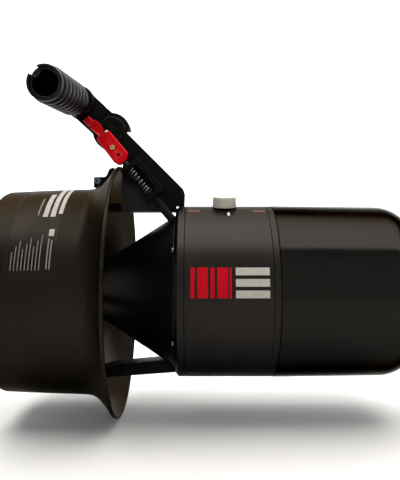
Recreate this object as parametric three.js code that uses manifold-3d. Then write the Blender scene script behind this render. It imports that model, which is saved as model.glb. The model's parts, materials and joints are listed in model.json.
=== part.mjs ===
// Underwater scooter of the towing kind: a cylindrical pressure hull with a pull-off nose, a ducted
// propeller behind it, and a folding side grip with a pull trigger on a bracket above the duct.
// Millimetres. X runs along the thrust axis towards the nose, Z is up, and the grip is on the -Y side.
// The origin is at the centre of the bounding box, on its bottom face.

import * as THREE from "three";
import { mergeVertices } from "three/addons/utils/BufferGeometryUtils.js";
import Module from "manifold-3d";

const wasm = await Module();
wasm.setup();

// ---------------------------------------------------------------- driving dimensions

const GAP = 0.3; // clearance between pieces that touch
const RUN = 0.3; // radial clearance of a shaft in its bore

const HULL_R = 95; // outside radius of the pressure hull
const WALL = 5; // wall of the hull and the nose
const LIP_R = 139; // bell mouth of the duct, the widest part
const FRONT_X = 222.5; // flat front face of the nose
const REAR_X = -222.5; // rear rim of the duct

const COLLAR_X = [-37.5, -27.5]; // rear bulkhead band
const TUBE_X = [-27.5, 60.5]; // hull tube
const RING_X = [60.5, 67.5]; // band between the hull tube and the nose
const SPIGOT = 12.5; // how far the bulkheads' spigots enter the tube and the nose
const SPIGOT_R = HULL_R - WALL - 0.4;
const GROOVE_DEPTH = 2.4;
const GROOVE_WIDTH = 4;

const NOSE_CORNER = 40; // radius of the nose's rounded edge
const NOSE_TAPER = 1.3; // how much the nose narrows towards that edge

const CONE_BASE_R = 85.4; // tail cone where it meets the rear bulkhead
const CONE_SLOPE = 0.644; // radius lost per millimetre towards the tail
const HUB_R = 28; // tail hub, in front of the propeller
const HUB_END_X = -149.5;

const SHAFT_R = 8;
const BEARING_R = 16;
const PROP_X = [-190, -150]; // propeller hub
const BLADE_X = -170; // where the blades stand
const BLADE_TIP_R = 96;
const BLADES = 3;

const STRUT_END_X = -146;
const STRUT_SEAT = 99.8; // distance from the axis of a strut's outer edge inside the duct

const PLATE_Y = [8.3, 12]; // the bracket's two side plates, either side of the centre plane
const DISC = new THREE.Vector2(-110.6, 178.8); // grip pivot, X and Z from the thrust axis
const DISC_R = 15.5;
const HOOD_R = 21; // grip arm's round end
const HOOD_STOP = THREE.MathUtils.degToRad(5); // where its stop face stands
const HOOD_FREE = THREE.MathUtils.degToRad(-75); // end of the relief that lets it fold
const GRIP_ROOT = new THREE.Vector2(-146.4, 211.6); // where the grip's axis crosses the centre plane
const GRIP_END = new THREE.Vector3(-155, -122, 201.7); // a point of the same axis at the grip's open end
const GRIP_TUBE_R = [12.5, 14.2];
const GRIP_R = 18.4;
const GRIP_RIM_R = 17;
const GRIP_SPAN = [28.5, 122.5]; // distances along the grip are from its root
const NOTCH_ANGLE = THREE.MathUtils.degToRad(42); // from the top of the grip's end, away from the hull

const ROD_START = new THREE.Vector2(-106.8, 157.7); // clamp screw, where the pull rod's axis starts
const ROD_ANGLE = THREE.MathUtils.degToRad(-50.3);
const ROD_Y = -19.5;
const ROD_R = 3;
const ROD_END = 86; // distances along the rod are from the clamp screw
const GUIDE = [25, 70];
const GUIDE_SIDE = [-10, 15]; // across the rod, from its axis
const SPRING = [30.3, 61];
const SPRING_R = 4.9; // centre of the wire
const WIRE_R = 0.7;
const COILS = 8;
const SPRING_SEAT_R = 5.8; // collar on the rod that the spring pushes

const KNOB_X = 15.5;
const KNOB_TILT = THREE.MathUtils.degToRad(12); // from the top of the hull towards the grip side
const KNOB_R = 13.5;
const KNOB_H = 12.5;

const SEGMENTS = 36; // round the hull
const SMALL = 18; // round the small pieces

// ---------------------------------------------------------------- materials

function finish(color, roughness, metalness) {
  return new THREE.MeshStandardMaterial({ color, roughness, metalness });
}

const anodised = finish(0x141210, 0.38, 0.6);
const polishedBlack = finish(0x0b0a09, 0.2, 0.4);
const ductPlastic = finish(0x1a1714, 0.5, 0.0);
const powderCoat = finish(0x0f0e0e, 0.55, 0.2);
const redAnodised = finish(0xc4141c, 0.3, 0.5);
const rubber = finish(0x0c0c0c, 0.75, 0.0);
const stainless = finish(0xc8c8c8, 0.25, 1.0);
const blackSteel = finish(0x161616, 0.35, 0.9);
const brass = finish(0xc9a24a, 0.3, 1.0);
const cream = finish(0xe8dfc4, 0.45, 0.0);
const clearPlastic = finish(0xd8d4c8, 0.2, 0.0);
const cellWrap = finish(0x2a4f9e, 0.4, 0.0);
const castAlloy = finish(0x8f9194, 0.45, 0.8);
const greyPlastic = finish(0x55585c, 0.5, 0.0);

// ---------------------------------------------------------------- shape helpers

const scooter = new THREE.Group();
const thrustFrame = new THREE.Group(); // its X axis is the thrust axis
thrustFrame.position.z = LIP_R;
scooter.add(thrustFrame);

function add(name, geometry, material) {
  const mesh = new THREE.Mesh(geometry, material);
  mesh.name = name;
  thrustFrame.add(mesh);
  return mesh;
}

// Only positions, shared vertices merged, faces turned outwards.
function tidy(geometry) {
  const bare = new THREE.BufferGeometry();
  bare.setAttribute("position", geometry.getAttribute("position").clone());
  if (geometry.index) bare.setIndex(geometry.index.clone());
  const merged = mergeVertices(bare, 1e-4);
  const index = merged.index.array;
  const position = merged.getAttribute("position");
  const kept = [];
  let volume = 0;
  const corner = [new THREE.Vector3(), new THREE.Vector3(), new THREE.Vector3()];
  for (let i = 0; i < index.length; i += 3) {
    const [a, b, c] = [index[i], index[i + 1], index[i + 2]];
    if (a === b || b === c || c === a) continue;
    [a, b, c].forEach((vertex, k) => corner[k].fromBufferAttribute(position, vertex));
    volume += corner[0].dot(corner[1].clone().cross(corner[2]));
    kept.push(a, b, c);
  }
  if (volume < 0) {
    for (let i = 0; i < kept.length; i += 3) [kept[i], kept[i + 1]] = [kept[i + 1], kept[i]];
  }
  merged.setIndex(kept);
  return merged;
}

function toSolid(geometry) {
  const bare = tidy(geometry);
  return new wasm.Manifold(new wasm.Mesh({
    numProp: 3,
    vertProperties: new Float32Array(bare.getAttribute("position").array),
    triVerts: new Uint32Array(bare.index.array),
  }));
}

function toGeometry(solid) {
  const mesh = solid.getMesh();
  const geometry = new THREE.BufferGeometry();
  geometry.setAttribute("position", new THREE.BufferAttribute(new Float32Array(mesh.vertProperties), 3));
  geometry.setIndex(new THREE.BufferAttribute(new Uint32Array(mesh.triVerts), 1));
  return geometry;
}

function cut(geometry, ...tools) {
  return toGeometry(tools.reduce((solid, tool) => solid.subtract(toSolid(tool)), toSolid(geometry)));
}

function join(geometry, ...others) {
  return toGeometry(others.reduce((solid, other) => solid.add(toSolid(other)), toSolid(geometry)));
}

// A body of revolution about the thrust axis. Points are [x, radius]; a ring's outline closes on itself.
function turned(outline, segments = SEGMENTS) {
  const points = outline.map(([x, radius]) => new THREE.Vector2(radius, x));
  return tidy(new THREE.LatheGeometry(points, segments).rotateZ(-Math.PI / 2));
}

function ring(outline, segments) {
  return turned([...outline, outline[0]], segments);
}

// A body of revolution about the line from a point along a direction. Points are [distance, radius].
function turnedAlong(outline, start, direction, segments = SMALL) {
  const geometry = turned(outline, segments);
  const turn = new THREE.Quaternion().setFromUnitVectors(new THREE.Vector3(1, 0, 0), direction);
  return geometry.applyQuaternion(turn).translate(start.x, start.y, start.z);
}

function ringAlong(outline, start, direction, segments) {
  return turnedAlong([...outline, outline[0]], start, direction, segments);
}

function rodAlong(radius, from, to, start, direction, segments) {
  return turnedAlong([[from, 0], [from, radius], [to, radius], [to, 0]], start, direction, segments);
}

// An outline in X and Z from the thrust axis, extruded between two values of Y.
function slab(shape, y0, y1, bevel = 0, curveSegments = 10) {
  const depth = Math.abs(y1 - y0) - 2 * bevel;
  const geometry = new THREE.ExtrudeGeometry(shape, {
    depth, curveSegments, bevelEnabled: bevel > 0, bevelSize: bevel, bevelThickness: bevel,
    bevelOffset: -bevel, bevelSegments: 1,
  });
  // The extrusion runs along +Z; turning it about X lays it along -Y.
  return geometry.rotateX(Math.PI / 2).translate(0, Math.max(y0, y1) - bevel, 0);
}

function polygon(points) {
  return new THREE.Shape(points.map(([x, z]) => new THREE.Vector2(x, z)));
}

function box(x, y, z) {
  const geometry = new THREE.BoxGeometry(x[1] - x[0], y[1] - y[0], z[1] - z[0]);
  return geometry.translate((x[0] + x[1]) / 2, (y[0] + y[1]) / 2, (z[0] + z[1]) / 2);
}

const ALONG_Y = new THREE.Vector3(0, 1, 0);
const AGAINST_Y = new THREE.Vector3(0, -1, 0);
const crossPoint = (x, z, y = 0) => new THREE.Vector3(x, y, z);

// ---------------------------------------------------------------- pressure hull

const knobAxis = new THREE.Vector3(0, -Math.sin(KNOB_TILT), Math.cos(KNOB_TILT));
const knobSeat = knobAxis.clone().multiplyScalar(HULL_R).setX(KNOB_X);
const STEM_R = 4;

// A groove cut into a spigot, as outline points from low X to high X.
function groove(middle) {
  const half = GROOVE_WIDTH / 2;
  const floor = SPIGOT_R - GROOVE_DEPTH;
  return [
    [middle - half, SPIGOT_R], [middle - half, floor], [middle + half, floor], [middle + half, SPIGOT_R],
  ];
}

function oRing(middle) {
  const thick = 1.1;
  const radius = SPIGOT_R - 1.05;
  const sides = 6;
  const outline = [];
  for (let i = 0; i < sides; i++) {
    const angle = (2 * Math.PI * i) / sides;
    outline.push([middle + thick * Math.cos(angle), radius + thick * Math.sin(angle)]);
  }
  return ring(outline);
}

function hullTube() {
  const [rear, front] = TUBE_X;
  const inner = HULL_R - WALL;
  const tube = ring([[rear + GAP, inner], [rear + GAP, HULL_R], [front, HULL_R], [front, inner]]);
  return cut(tube, rodAlong(STEM_R + RUN, -3 * WALL, WALL, knobSeat, knobAxis));
}

function rearCollar() {
  const [rear, front] = COLLAR_X;
  const chamfer = 3.2;
  const rim = SPIGOT_R - 7.6;
  const bore = 44;
  const middle = front + SPIGOT / 2;
  return ring([
    [rear, bore], [rear, HULL_R - chamfer], [rear + chamfer, HULL_R], [front, HULL_R], [front, SPIGOT_R],
    ...groove(middle), [front + SPIGOT, SPIGOT_R], [front + SPIGOT, rim], [front, rim], [front, bore],
  ]);
}

const CONNECTOR_R = 12;

function noseRing() {
  const rear = RING_X[0] + GAP;
  const front = RING_X[1] - GAP;
  const rim = SPIGOT_R - 7.6;
  return ring([
    [rear, CONNECTOR_R], [rear, rim], [rear - SPIGOT, rim], [rear - SPIGOT, SPIGOT_R],
    ...groove(rear - SPIGOT / 2), [rear, SPIGOT_R], [rear, HULL_R], [front, HULL_R], [front, SPIGOT_R],
    ...groove(front + SPIGOT / 2), [front + SPIGOT, SPIGOT_R], [front + SPIGOT, rim], [front, rim],
    [front, CONNECTOR_R],
  ]);
}

function noseCap() {
  const corner = FRONT_X - NOSE_CORNER;
  const steps = 7;
  const arc = (radius, middle, from, to) => Array.from({ length: steps + 1 }, (_, i) => {
    const angle = THREE.MathUtils.lerp(from, to, i / steps);
    return [corner + radius * Math.cos(angle), middle + radius * Math.sin(angle)];
  });
  const middle = HULL_R + 0.4 - NOSE_TAPER - NOSE_CORNER;
  const rear = RING_X[1] + GAP;
  return turned([
    [FRONT_X, 0], ...arc(NOSE_CORNER, middle, 0, Math.PI / 2), [rear, HULL_R + 0.4],
    [rear, HULL_R - WALL], ...arc(NOSE_CORNER - WALL, middle, Math.PI / 2, 0), [FRONT_X - WALL, 0],
  ]);
}

add("hull_tube", hullTube(), anodised);
add("rear_collar", rearCollar(), anodised);
add("nose_ring", noseRing(), anodised);
add("nose_cap", noseCap(), polishedBlack);
add("rear_o_ring", oRing(COLLAR_X[1] + SPIGOT / 2), rubber);
add("hull_o_ring", oRing(RING_X[0] + GAP - SPIGOT / 2), rubber);
add("nose_o_ring", oRing(RING_X[1] - GAP + SPIGOT / 2), rubber);

// Battery, in the nose: a plate on the bulkhead's stem, two packs and their connector.
const PACK_X = [84, 190];
const PACK_HALF_WIDTH = 50;
const PACK_Z = [-62, 22];
const TRAY_Z = -66;

add("battery_tray", join(
  box([PACK_X[0] - 3.5, PACK_X[1] - 4], [-48, 48], [TRAY_Z - 3, TRAY_Z + 1]),
  box([PACK_X[0] - 3.5, PACK_X[0] - GAP], [-48, 48], [TRAY_Z - 3, 40]),
), castAlloy);
for (const [name, side] of [["battery_pack_left", 1], ["battery_pack_right", -1]]) {
  const y = [side * GAP, side * PACK_HALF_WIDTH].sort((a, b) => a - b);
  add(name, box(PACK_X, y, [PACK_Z[0], PACK_Z[1]]), cellWrap);
}
const plugX = [RING_X[0] - 6, RING_X[0] + GAP - 0.5, RING_X[1] + 4, RING_X[1] + 12];
add("battery_connector", turned([
  [plugX[0], 0], [plugX[0], 9], [plugX[1], 9], [plugX[1], CONNECTOR_R - GAP], [plugX[2], CONNECTOR_R - GAP],
  [plugX[2], 7], [plugX[3], 7], [plugX[3], 0],
], SMALL), greyPlastic);

// Electronics, in the hull tube.
add("controller_heat_sink", box([-8, 44], [-48, 48], [-64, -59]), castAlloy);
add("motor_controller", box([-6, 42], [-42, 42], [-58.7, -34]), greyPlastic);
const potFrom = -(WALL + 14);
add("speed_potentiometer", rodAlong(9, potFrom, -(WALL + 1.5), knobSeat, knobAxis), greyPlastic);

// ---------------------------------------------------------------- speed knob

function speedKnob() {
  const rim = 1.2;
  return turnedAlong([
    [GAP + 0.4, 0], [GAP + 0.4, KNOB_R], [KNOB_H - rim, KNOB_R], [KNOB_H, KNOB_R - rim], [KNOB_H, 0],
  ], knobSeat, knobAxis);
}

add("speed_knob", cut(speedKnob(), rodAlong(STEM_R + RUN, 0, 7, knobSeat, knobAxis),
  rodAlong(8.3, 0, 2.6, knobSeat, knobAxis)), clearPlastic);
add("knob_stem", rodAlong(STEM_R, -(WALL + 1), 6.6, knobSeat, knobAxis), stainless);
add("knob_seal", ringAlong([[GAP + 0.2, STEM_R + RUN], [GAP + 0.2, 7.9], [2.2, 7.9], [2.2, STEM_R + RUN]],
  knobSeat, knobAxis), rubber);

// ---------------------------------------------------------------- tail: motor, shaft, propeller

const coneRadius = (x) => CONE_BASE_R + (x - COLLAR_X[0]) * CONE_SLOPE;
const coneEnd = COLLAR_X[0] - (CONE_BASE_R - HUB_R) / CONE_SLOPE;
const SEAL_R = 14;
const SEAL_X = [HUB_END_X + 1, HUB_END_X + 12];
const SHAFT_BORE = 9.5;

function tailCone() {
  const wall = 6;
  const base = COLLAR_X[0] - GAP;
  const deepest = -112;
  return ring([
    [base, coneRadius(base) - wall], [base, coneRadius(base)], [coneEnd, HUB_R], [HUB_END_X, HUB_R],
    [HUB_END_X, SEAL_R + GAP], [SEAL_X[1] + GAP, SEAL_R + GAP], [SEAL_X[1] + GAP, SHAFT_BORE],
    [deepest, SHAFT_BORE], [deepest, coneRadius(deepest) - wall],
  ]);
}

const MOTOR_R = 40;
const STATOR_X = [-88, -33.5];
const FLANGE_X = [COLLAR_X[1] + GAP, COLLAR_X[1] + 5];
const seat = BEARING_R + GAP;

function bearing(x0, x1) {
  const bore = SHAFT_R + RUN;
  return ring([[x0, bore], [x0, BEARING_R], [x1, BEARING_R], [x1, bore]], SMALL);
}

add("tail_cone", tailCone(), anodised);
add("motor_front_cover", ring([
  [STATOR_X[1] + GAP, seat], [STATOR_X[1] + GAP, MOTOR_R - 0.5], [FLANGE_X[0], MOTOR_R - 0.5],
  [FLANGE_X[0], 56], [FLANGE_X[1], 56], [FLANGE_X[1], seat],
], SMALL), castAlloy);
const STATOR_BORE = 27;
add("motor_stator", ring([
  [STATOR_X[0], STATOR_BORE], [STATOR_X[0], MOTOR_R], [STATOR_X[1], MOTOR_R], [STATOR_X[1], STATOR_BORE],
], SMALL), castAlloy);
const rearCoverFront = STATOR_X[0] - GAP;
add("motor_rear_cover", ring([
  [-99, seat], [-99, 22], [-93, 22], [-93, MOTOR_R], [rearCoverFront, MOTOR_R], [rearCoverFront, seat],
], SMALL), castAlloy);
add("front_bearing", bearing(-32.5, -23), stainless);
add("rear_bearing", bearing(-98.5, -89), stainless);
add("shaft_seal", ring([[SEAL_X[0], SHAFT_R + RUN], [SEAL_X[0], SEAL_R], [SEAL_X[1], SEAL_R],
  [SEAL_X[1], SHAFT_R + RUN]], SMALL), rubber);

const THREAD_R = 6;
const SHAFT_END = -204;
const PIN = { x: PROP_X[1] - 6, radius: 2.5, half: 17 };
const pinHole = (radius, half) => rodAlong(radius, -half, half, crossPoint(PIN.x, 0), ALONG_Y, 12);

add("drive_shaft", cut(turned([
  [-18, 0], [-18, SHAFT_R], [PROP_X[0] + 2, SHAFT_R], [PROP_X[0] + 2, THREAD_R], [SHAFT_END, THREAD_R],
  [SHAFT_END, 0],
], SMALL), pinHole(PIN.radius + GAP, SHAFT_R + 2)), stainless);
add("motor_rotor", ring([
  [-84, SHAFT_R + RUN], [-84, STATOR_BORE - 1], [-37, STATOR_BORE - 1], [-37, SHAFT_R + RUN],
], SMALL), castAlloy);
add("drive_pin", rodAlong(PIN.radius, -PIN.half, PIN.half, crossPoint(PIN.x, 0), ALONG_Y, 12), stainless);

// One blade: cross-sections from root to tip, each a lens set at the pitch angle of a constant helix.
function blade() {
  const sections = 6;
  const across = 5;
  const rootR = HUB_R - 8;
  const pitchPerTurn = 150;
  const vertices = [];
  for (let i = 0; i < sections; i++) {
    const t = i / (sections - 1);
    const radius = THREE.MathUtils.lerp(rootR, BLADE_TIP_R, t);
    const pitch = Math.atan2(pitchPerTurn, 2 * Math.PI * radius);
    const chord = 46 * Math.sqrt(Math.max(0.12, Math.sin(Math.PI * (0.18 + 0.72 * t))));
    const thick = THREE.MathUtils.lerp(7, 2.2, t);
    const loop = [];
    for (let k = 0; k <= across; k++) loop.push([k / across - 0.5, 1]);
    for (let k = across - 1; k > 0; k--) loop.push([k / across - 0.5, -1]);
    for (const [u, side] of loop) {
      const edge = Math.sqrt(Math.max(0, 1 - 4 * u * u));
      const along = u * chord;
      const off = (side * thick * (0.2 + 0.8 * edge)) / 2;
      const x = BLADE_X + along * Math.sin(pitch) + off * Math.cos(pitch);
      const around = along * Math.cos(pitch) - off * Math.sin(pitch);
      const angle = around / radius;
      vertices.push(x, radius * Math.sin(angle), radius * Math.cos(angle));
    }
  }
  const loopSize = 2 * across;
  const faces = [];
  for (let i = 0; i < sections - 1; i++) {
    for (let k = 0; k < loopSize; k++) {
      const a = i * loopSize + k;
      const b = i * loopSize + ((k + 1) % loopSize);
      faces.push(a, b, b + loopSize, a, b + loopSize, a + loopSize);
    }
  }
  const tip = (sections - 1) * loopSize;
  for (let k = 1; k < loopSize - 1; k++) {
    faces.push(0, k + 1, k);
    faces.push(tip, tip + k, tip + k + 1);
  }
  const geometry = new THREE.BufferGeometry();
  geometry.setAttribute("position", new THREE.Float32BufferAttribute(vertices, 3));
  geometry.setIndex(faces);
  return geometry;
}

function propeller() {
  const [rear, front] = PROP_X;
  const hub = turned([
    [rear, 0], [rear, HUB_R - 4], [rear + 12, HUB_R - 1], [front - GAP, HUB_R], [front - GAP, 0],
  ]);
  const blades = Array.from({ length: BLADES }, (_, i) => blade().rotateX((2 * Math.PI * i) / BLADES));
  const boreR = SHAFT_R + RUN;
  const bore = turned([[rear - 1, 0], [rear - 1, boreR], [front + 1, boreR], [front + 1, 0]], SMALL);
  return cut(join(hub, ...blades), bore, pinHole(PIN.radius + GAP, PIN.half + 0.5));
}

add("propeller", propeller(), ductPlastic);
add("propeller_nut", turned([
  [SHAFT_END - 1, 0], [SHAFT_END - 1, THREAD_R + RUN], [PROP_X[0] - GAP, THREAD_R + RUN],
  [PROP_X[0] - GAP, HUB_R - 4.4], [PROP_X[0] - 9, HUB_R - 8], [PROP_X[0] - 17, HUB_R - 15],
  [PROP_X[0] - 21, 6], [PROP_X[0] - 22, 0],
], SMALL), ductPlastic);

// ---------------------------------------------------------------- duct and its struts

function duct() {
  return ring([
    [REAR_X, 107], [REAR_X, 109.5], [-219, 111], [-131.5, 114.1], [-122, 116.7], [-115.4, 122],
    [-108.4, 129.1], [-102.9, 137], [-101.6, LIP_R], [-98.9, LIP_R], [-97.9, 137.4], [-100.9, 133.5],
    [-107.4, 124.5], [-115.5, 115], [-126, 107.5], [-140, 102.6], [-160, 101], [-185, 101.8], [-205, 104],
  ]);
}

// Bar from the bulkhead's rear face to the inside of the duct; the outline is [x, distance from the axis].
const STRUT_FRONT_X = COLLAR_X[0] - GAP;
const bottomStrut = [
  [STRUT_FRONT_X, 90], [-112, STRUT_SEAT - 4.4], [-128, STRUT_SEAT], [STRUT_END_X, STRUT_SEAT],
  [STRUT_END_X, STRUT_SEAT - 5], [-122, 85.8], [-104, 81.6], [STRUT_FRONT_X - 14, 76.8],
  [STRUT_FRONT_X, 85.7],
].map(([x, radius]) => [x, -radius]);
const TOP_STRUT_HALF = 8;
const PLATE_BASE = 88.3; // lower edge of the top strut and the bracket's side plates

add("duct", duct(), ductPlastic);
add("bottom_strut", slab(polygon(bottomStrut), -13, 13), powderCoat);
add("top_strut", slab(polygon([
  [STRUT_FRONT_X, 94], [-112, STRUT_SEAT - 1.2], [-128, STRUT_SEAT + 0.4], [STRUT_END_X, STRUT_SEAT + 0.4],
  [STRUT_END_X, STRUT_SEAT - 6], [-104, PLATE_BASE], [STRUT_FRONT_X, PLATE_BASE],
]), -TOP_STRUT_HALF, TOP_STRUT_HALF), powderCoat);

// ---------------------------------------------------------------- handle bracket

const BOLT_R = 2.5;
const BRACKET_BOLTS = [[-56, 92.5], [-88, 93]];
const HINGE_R = 4;
const CLEAR_OF_HULL = HULL_R + 0.5;

function sidePlateShape() {
  const shape = new THREE.Shape();
  shape.moveTo(-29, CLEAR_OF_HULL);
  shape.lineTo(-28.4, 109.3);
  shape.lineTo(-30.1, 113.8);
  shape.lineTo(DISC.x + DISC_R, DISC.y);
  shape.absarc(DISC.x, DISC.y, DISC_R, 0, THREE.MathUtils.degToRad(218), false);
  shape.lineTo(-97.4, 144);
  shape.lineTo(-97.4, 131);
  shape.lineTo(-98.8, 119);
  shape.lineTo(-98.8, PLATE_BASE);
  shape.lineTo(COLLAR_X[0] - 0.8, PLATE_BASE);
  shape.lineTo(COLLAR_X[0] - 0.8, CLEAR_OF_HULL);
  return shape;
}

const boltHole = ([x, z]) => rodAlong(BOLT_R + RUN, -20, 20, crossPoint(x, z), ALONG_Y, 12);

function sidePlate(side) {
  const [inner, outer] = PLATE_Y.map((y) => side * y);
  const hingeHole = rodAlong(HINGE_R + RUN, -20, 20, crossPoint(DISC.x, DISC.y), ALONG_Y);
  return cut(slab(sidePlateShape(), inner, outer), ...BRACKET_BOLTS.map(boltHole), hingeHole);
}

// Sloping web between the side plates, along their upper edge. It stops short of the grip arm's hood.
function coverPlate() {
  const top = new THREE.Vector2(DISC.x + DISC_R, DISC.y);
  const bottom = new THREE.Vector2(-30.1, 113.8);
  const down = bottom.clone().sub(top).normalize();
  const inwards = new THREE.Vector2(down.y, -down.x);
  const thick = 3.5;
  const start = top.clone().addScaledVector(down, 9.6);
  const outline = [start, bottom, bottom.clone().addScaledVector(inwards, thick),
    start.clone().addScaledVector(inwards, thick)];
  const half = PLATE_Y[0] - GAP;
  return slab(new THREE.Shape(outline), -half, half);
}

add("bracket_plate_right", sidePlate(-1), powderCoat);
add("bracket_plate_left", sidePlate(1), powderCoat);
add("bracket_cover", coverPlate(), powderCoat);

// A cap screw along a direction; start is under its head, which stands away from the direction.
function capScrew(start, direction, length, radius = BOLT_R, head = 1.7) {
  const headR = radius * head;
  const screw = turnedAlong([
    [-radius * 1.6, 0], [-radius * 1.6, headR], [0, headR], [0, radius], [length, radius], [length, 0],
  ], start, direction, 16);
  return cut(screw, rodAlong(radius * 0.8, -radius * 1.7, -radius * 0.7, start, direction, 6));
}

const topStrutMesh = thrustFrame.children.find((mesh) => mesh.name === "top_strut");
topStrutMesh.geometry = cut(topStrutMesh.geometry, ...BRACKET_BOLTS.map(boltHole));
BRACKET_BOLTS.forEach(([x, z], i) => {
  add(`bracket_bolt_${i + 1}`, capScrew(crossPoint(x, z, PLATE_Y[1] + GAP), AGAINST_Y, 23.5), stainless);
});
const hingeHead = crossPoint(DISC.x, DISC.y, PLATE_Y[1] + GAP);
add("hinge_bolt", capScrew(hingeHead, AGAINST_Y, 23.5, HINGE_R, 1.75), stainless);
add("pivot_cap", turnedAlong([[PLATE_Y[1] + GAP, 0], [PLATE_Y[1] + GAP, DISC_R - 0.3], [14.2, DISC_R - 0.3],
  [15, DISC_R - 1.6], [15, 0]], crossPoint(DISC.x, DISC.y), AGAINST_Y, 32), powderCoat);

// Clamp on the outside of the duct, hooked behind its lip.
const CLAMP_BOLT = [-125, 122.5];
add("lip_clamp", cut(slab(polygon([
  [-130, 115.6], [-130, 127.5], [-116.6, 127.5], [-112.4, 136.8], [-107, 138.2], [-107.9, 131.2],
  [-114.8, 124.2], [-122, 118],
]), -10, 10), boltHole(CLAMP_BOLT)), powderCoat);
add("lip_clamp_bolt", capScrew(crossPoint(...CLAMP_BOLT, -10 - GAP), ALONG_Y, 19, BOLT_R, 1.4), stainless);

// ---------------------------------------------------------------- trigger, pull rod and spring

// Frame of the pull rod: X along the rod towards the hull, Y as on the object, Z across the rod, upwards.
const rodDirection = new THREE.Vector3(Math.cos(ROD_ANGLE), 0, Math.sin(ROD_ANGLE));
const rodStart = crossPoint(ROD_START.x, ROD_START.y, ROD_Y);
const toRod = (geometry) => geometry.rotateY(-ROD_ANGLE).translate(ROD_START.x, 0, ROD_START.y);

const TRIGGER_Y = [-24.4, -15.5];
const TAB_Y = -18; // the finger tab and its neck are thinner than the body
const SCREW_R = 2.7;
const BUFFER_R = 2.2;
const BUFFER_UP = 5.9; // across the rod, from its axis
const alongRod = (distance, up = 0) => new THREE.Vector3(distance, ROD_Y, up)
  .applyAxisAngle(ALONG_Y, -ROD_ANGLE).add(crossPoint(ROD_START.x, ROD_START.y));

function triggerLever() {
  const body = polygon([
    [-17.5, -7.5], [13, -9], [19, -6.4], [20, 3.1], [15, 9.3], [-17.7, 9], [-17.7, 1.5], [-20, -6],
  ]);
  const neck = polygon([
    [-12, -3.4], [-12, 3.2], [-21.4, 3.2], [-22.6, 5.6], [-32, 6.4], [-35.6, 5.4], [-36.8, 2.2], [-43.4, 2.2],
    [-43.8, -5.6], [-34.6, -5.6], [-28, -4.3], [-17, -3.4],
  ]);
  const lever = join(toRod(slab(body, ...TRIGGER_Y, 1)), toRod(slab(neck, TRIGGER_Y[0], TAB_Y, 0.8)));
  return cut(lever,
    rodAlong(ROD_R + GAP, -5.5, 30, rodStart, rodDirection, 16),
    rodAlong(SCREW_R + GAP, ROD_R + 0.1, 8, rodStart, AGAINST_Y, 16),
    rodAlong(1.9, 2, 8, alongRod(9.7), AGAINST_Y, 12),
    rodAlong(BUFFER_R + GAP, -20, -11, alongRod(0, BUFFER_UP), rodDirection, 12));
}

add("trigger_lever", triggerLever(), redAnodised);
const screwSeat = rodStart.clone().setY(TRIGGER_Y[0] - GAP);
add("trigger_clamp_screw", capScrew(screwSeat, ALONG_Y, 1.4, 1.6, 1.65), brass);
add("trigger_buffer", turnedAlong([[-20.6, 0], [-20.2, 1.6], [-19, BUFFER_R], [-11.4, BUFFER_R], [-11.4, 0]],
  alongRod(0, BUFFER_UP), rodDirection, 12), cream);
add("pull_rod", turnedAlong([
  [-5, 0], [-5, ROD_R], [SPRING[1] + GAP, ROD_R], [SPRING[1] + GAP, SPRING_SEAT_R],
  [SPRING[1] + 2.8, SPRING_SEAT_R], [SPRING[1] + 2.8, ROD_R], [ROD_END, ROD_R], [ROD_END, 0],
], rodStart, rodDirection, 20), blackSteel);

// A frame round the spring, open on its lower side.
function rodGuide() {
  const [from, to] = GUIDE;
  const [low, high] = GUIDE_SIDE;
  const endWall = 5;
  const backWall = 7;
  const y = [-26, -PLATE_Y[1] - GAP];
  const outside = box([from, to], y, [low, high]);
  const pocket = box([from + endWall, to - endWall], [y[0] - 1, y[1] + 1], [low - 1, high - backWall]);
  const bore = rodAlong(ROD_R + RUN, from - 2, to + 2, rodStart, rodDirection, 20);
  return cut(toRod(cut(outside, pocket)), bore);
}

class Helix extends THREE.Curve {
  getPoint(t, target = new THREE.Vector3()) {
    const angle = 2 * Math.PI * COILS * t;
    const along = THREE.MathUtils.lerp(SPRING[0] + WIRE_R, SPRING[1] - WIRE_R, t);
    return target.set(along, SPRING_R * Math.cos(angle), SPRING_R * Math.sin(angle));
  }
}

function spring() {
  const wire = new THREE.Shape();
  wire.absarc(0, 0, WIRE_R, 0, 2 * Math.PI, false);
  const stepsPerCoil = 9;
  const geometry = new THREE.ExtrudeGeometry(wire, {
    steps: COILS * stepsPerCoil, curveSegments: 2, extrudePath: new Helix(), bevelEnabled: false,
  });
  return tidy(toRod(geometry.translate(0, ROD_Y, 0)));
}

add("rod_guide", rodGuide(), powderCoat);
add("trigger_spring", spring(), stainless);

// Closed tube that the rod's end slides in, down to the tail cone beside the bulkhead; it holds the switch.
function switchFitting() {
  const radius = 4.6;
  const tube = rodAlong(radius, GUIDE[1] + GAP, 112, rodStart, rodDirection, 20);
  const base = COLLAR_X[0] - GAP;
  const beyond = box([base, base + 20], [ROD_Y - 10, ROD_Y + 10], [60, 100]);
  const room = turned([
    [base + 2, 0], [base + 2, coneRadius(base + 2) + GAP], [-80, coneRadius(-80) + GAP], [-80, 0],
  ]);
  const bore = rodAlong(ROD_R + RUN, GUIDE[1] - 2, ROD_END + 4, rodStart, rodDirection, 20);
  return cut(tube, beyond, room, bore);
}

add("switch_fitting", switchFitting(), powderCoat);

// ---------------------------------------------------------------- folding grip

const gripRoot = crossPoint(GRIP_ROOT.x, GRIP_ROOT.y);
const gripAxis = GRIP_END.clone().sub(gripRoot).normalize();

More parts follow.
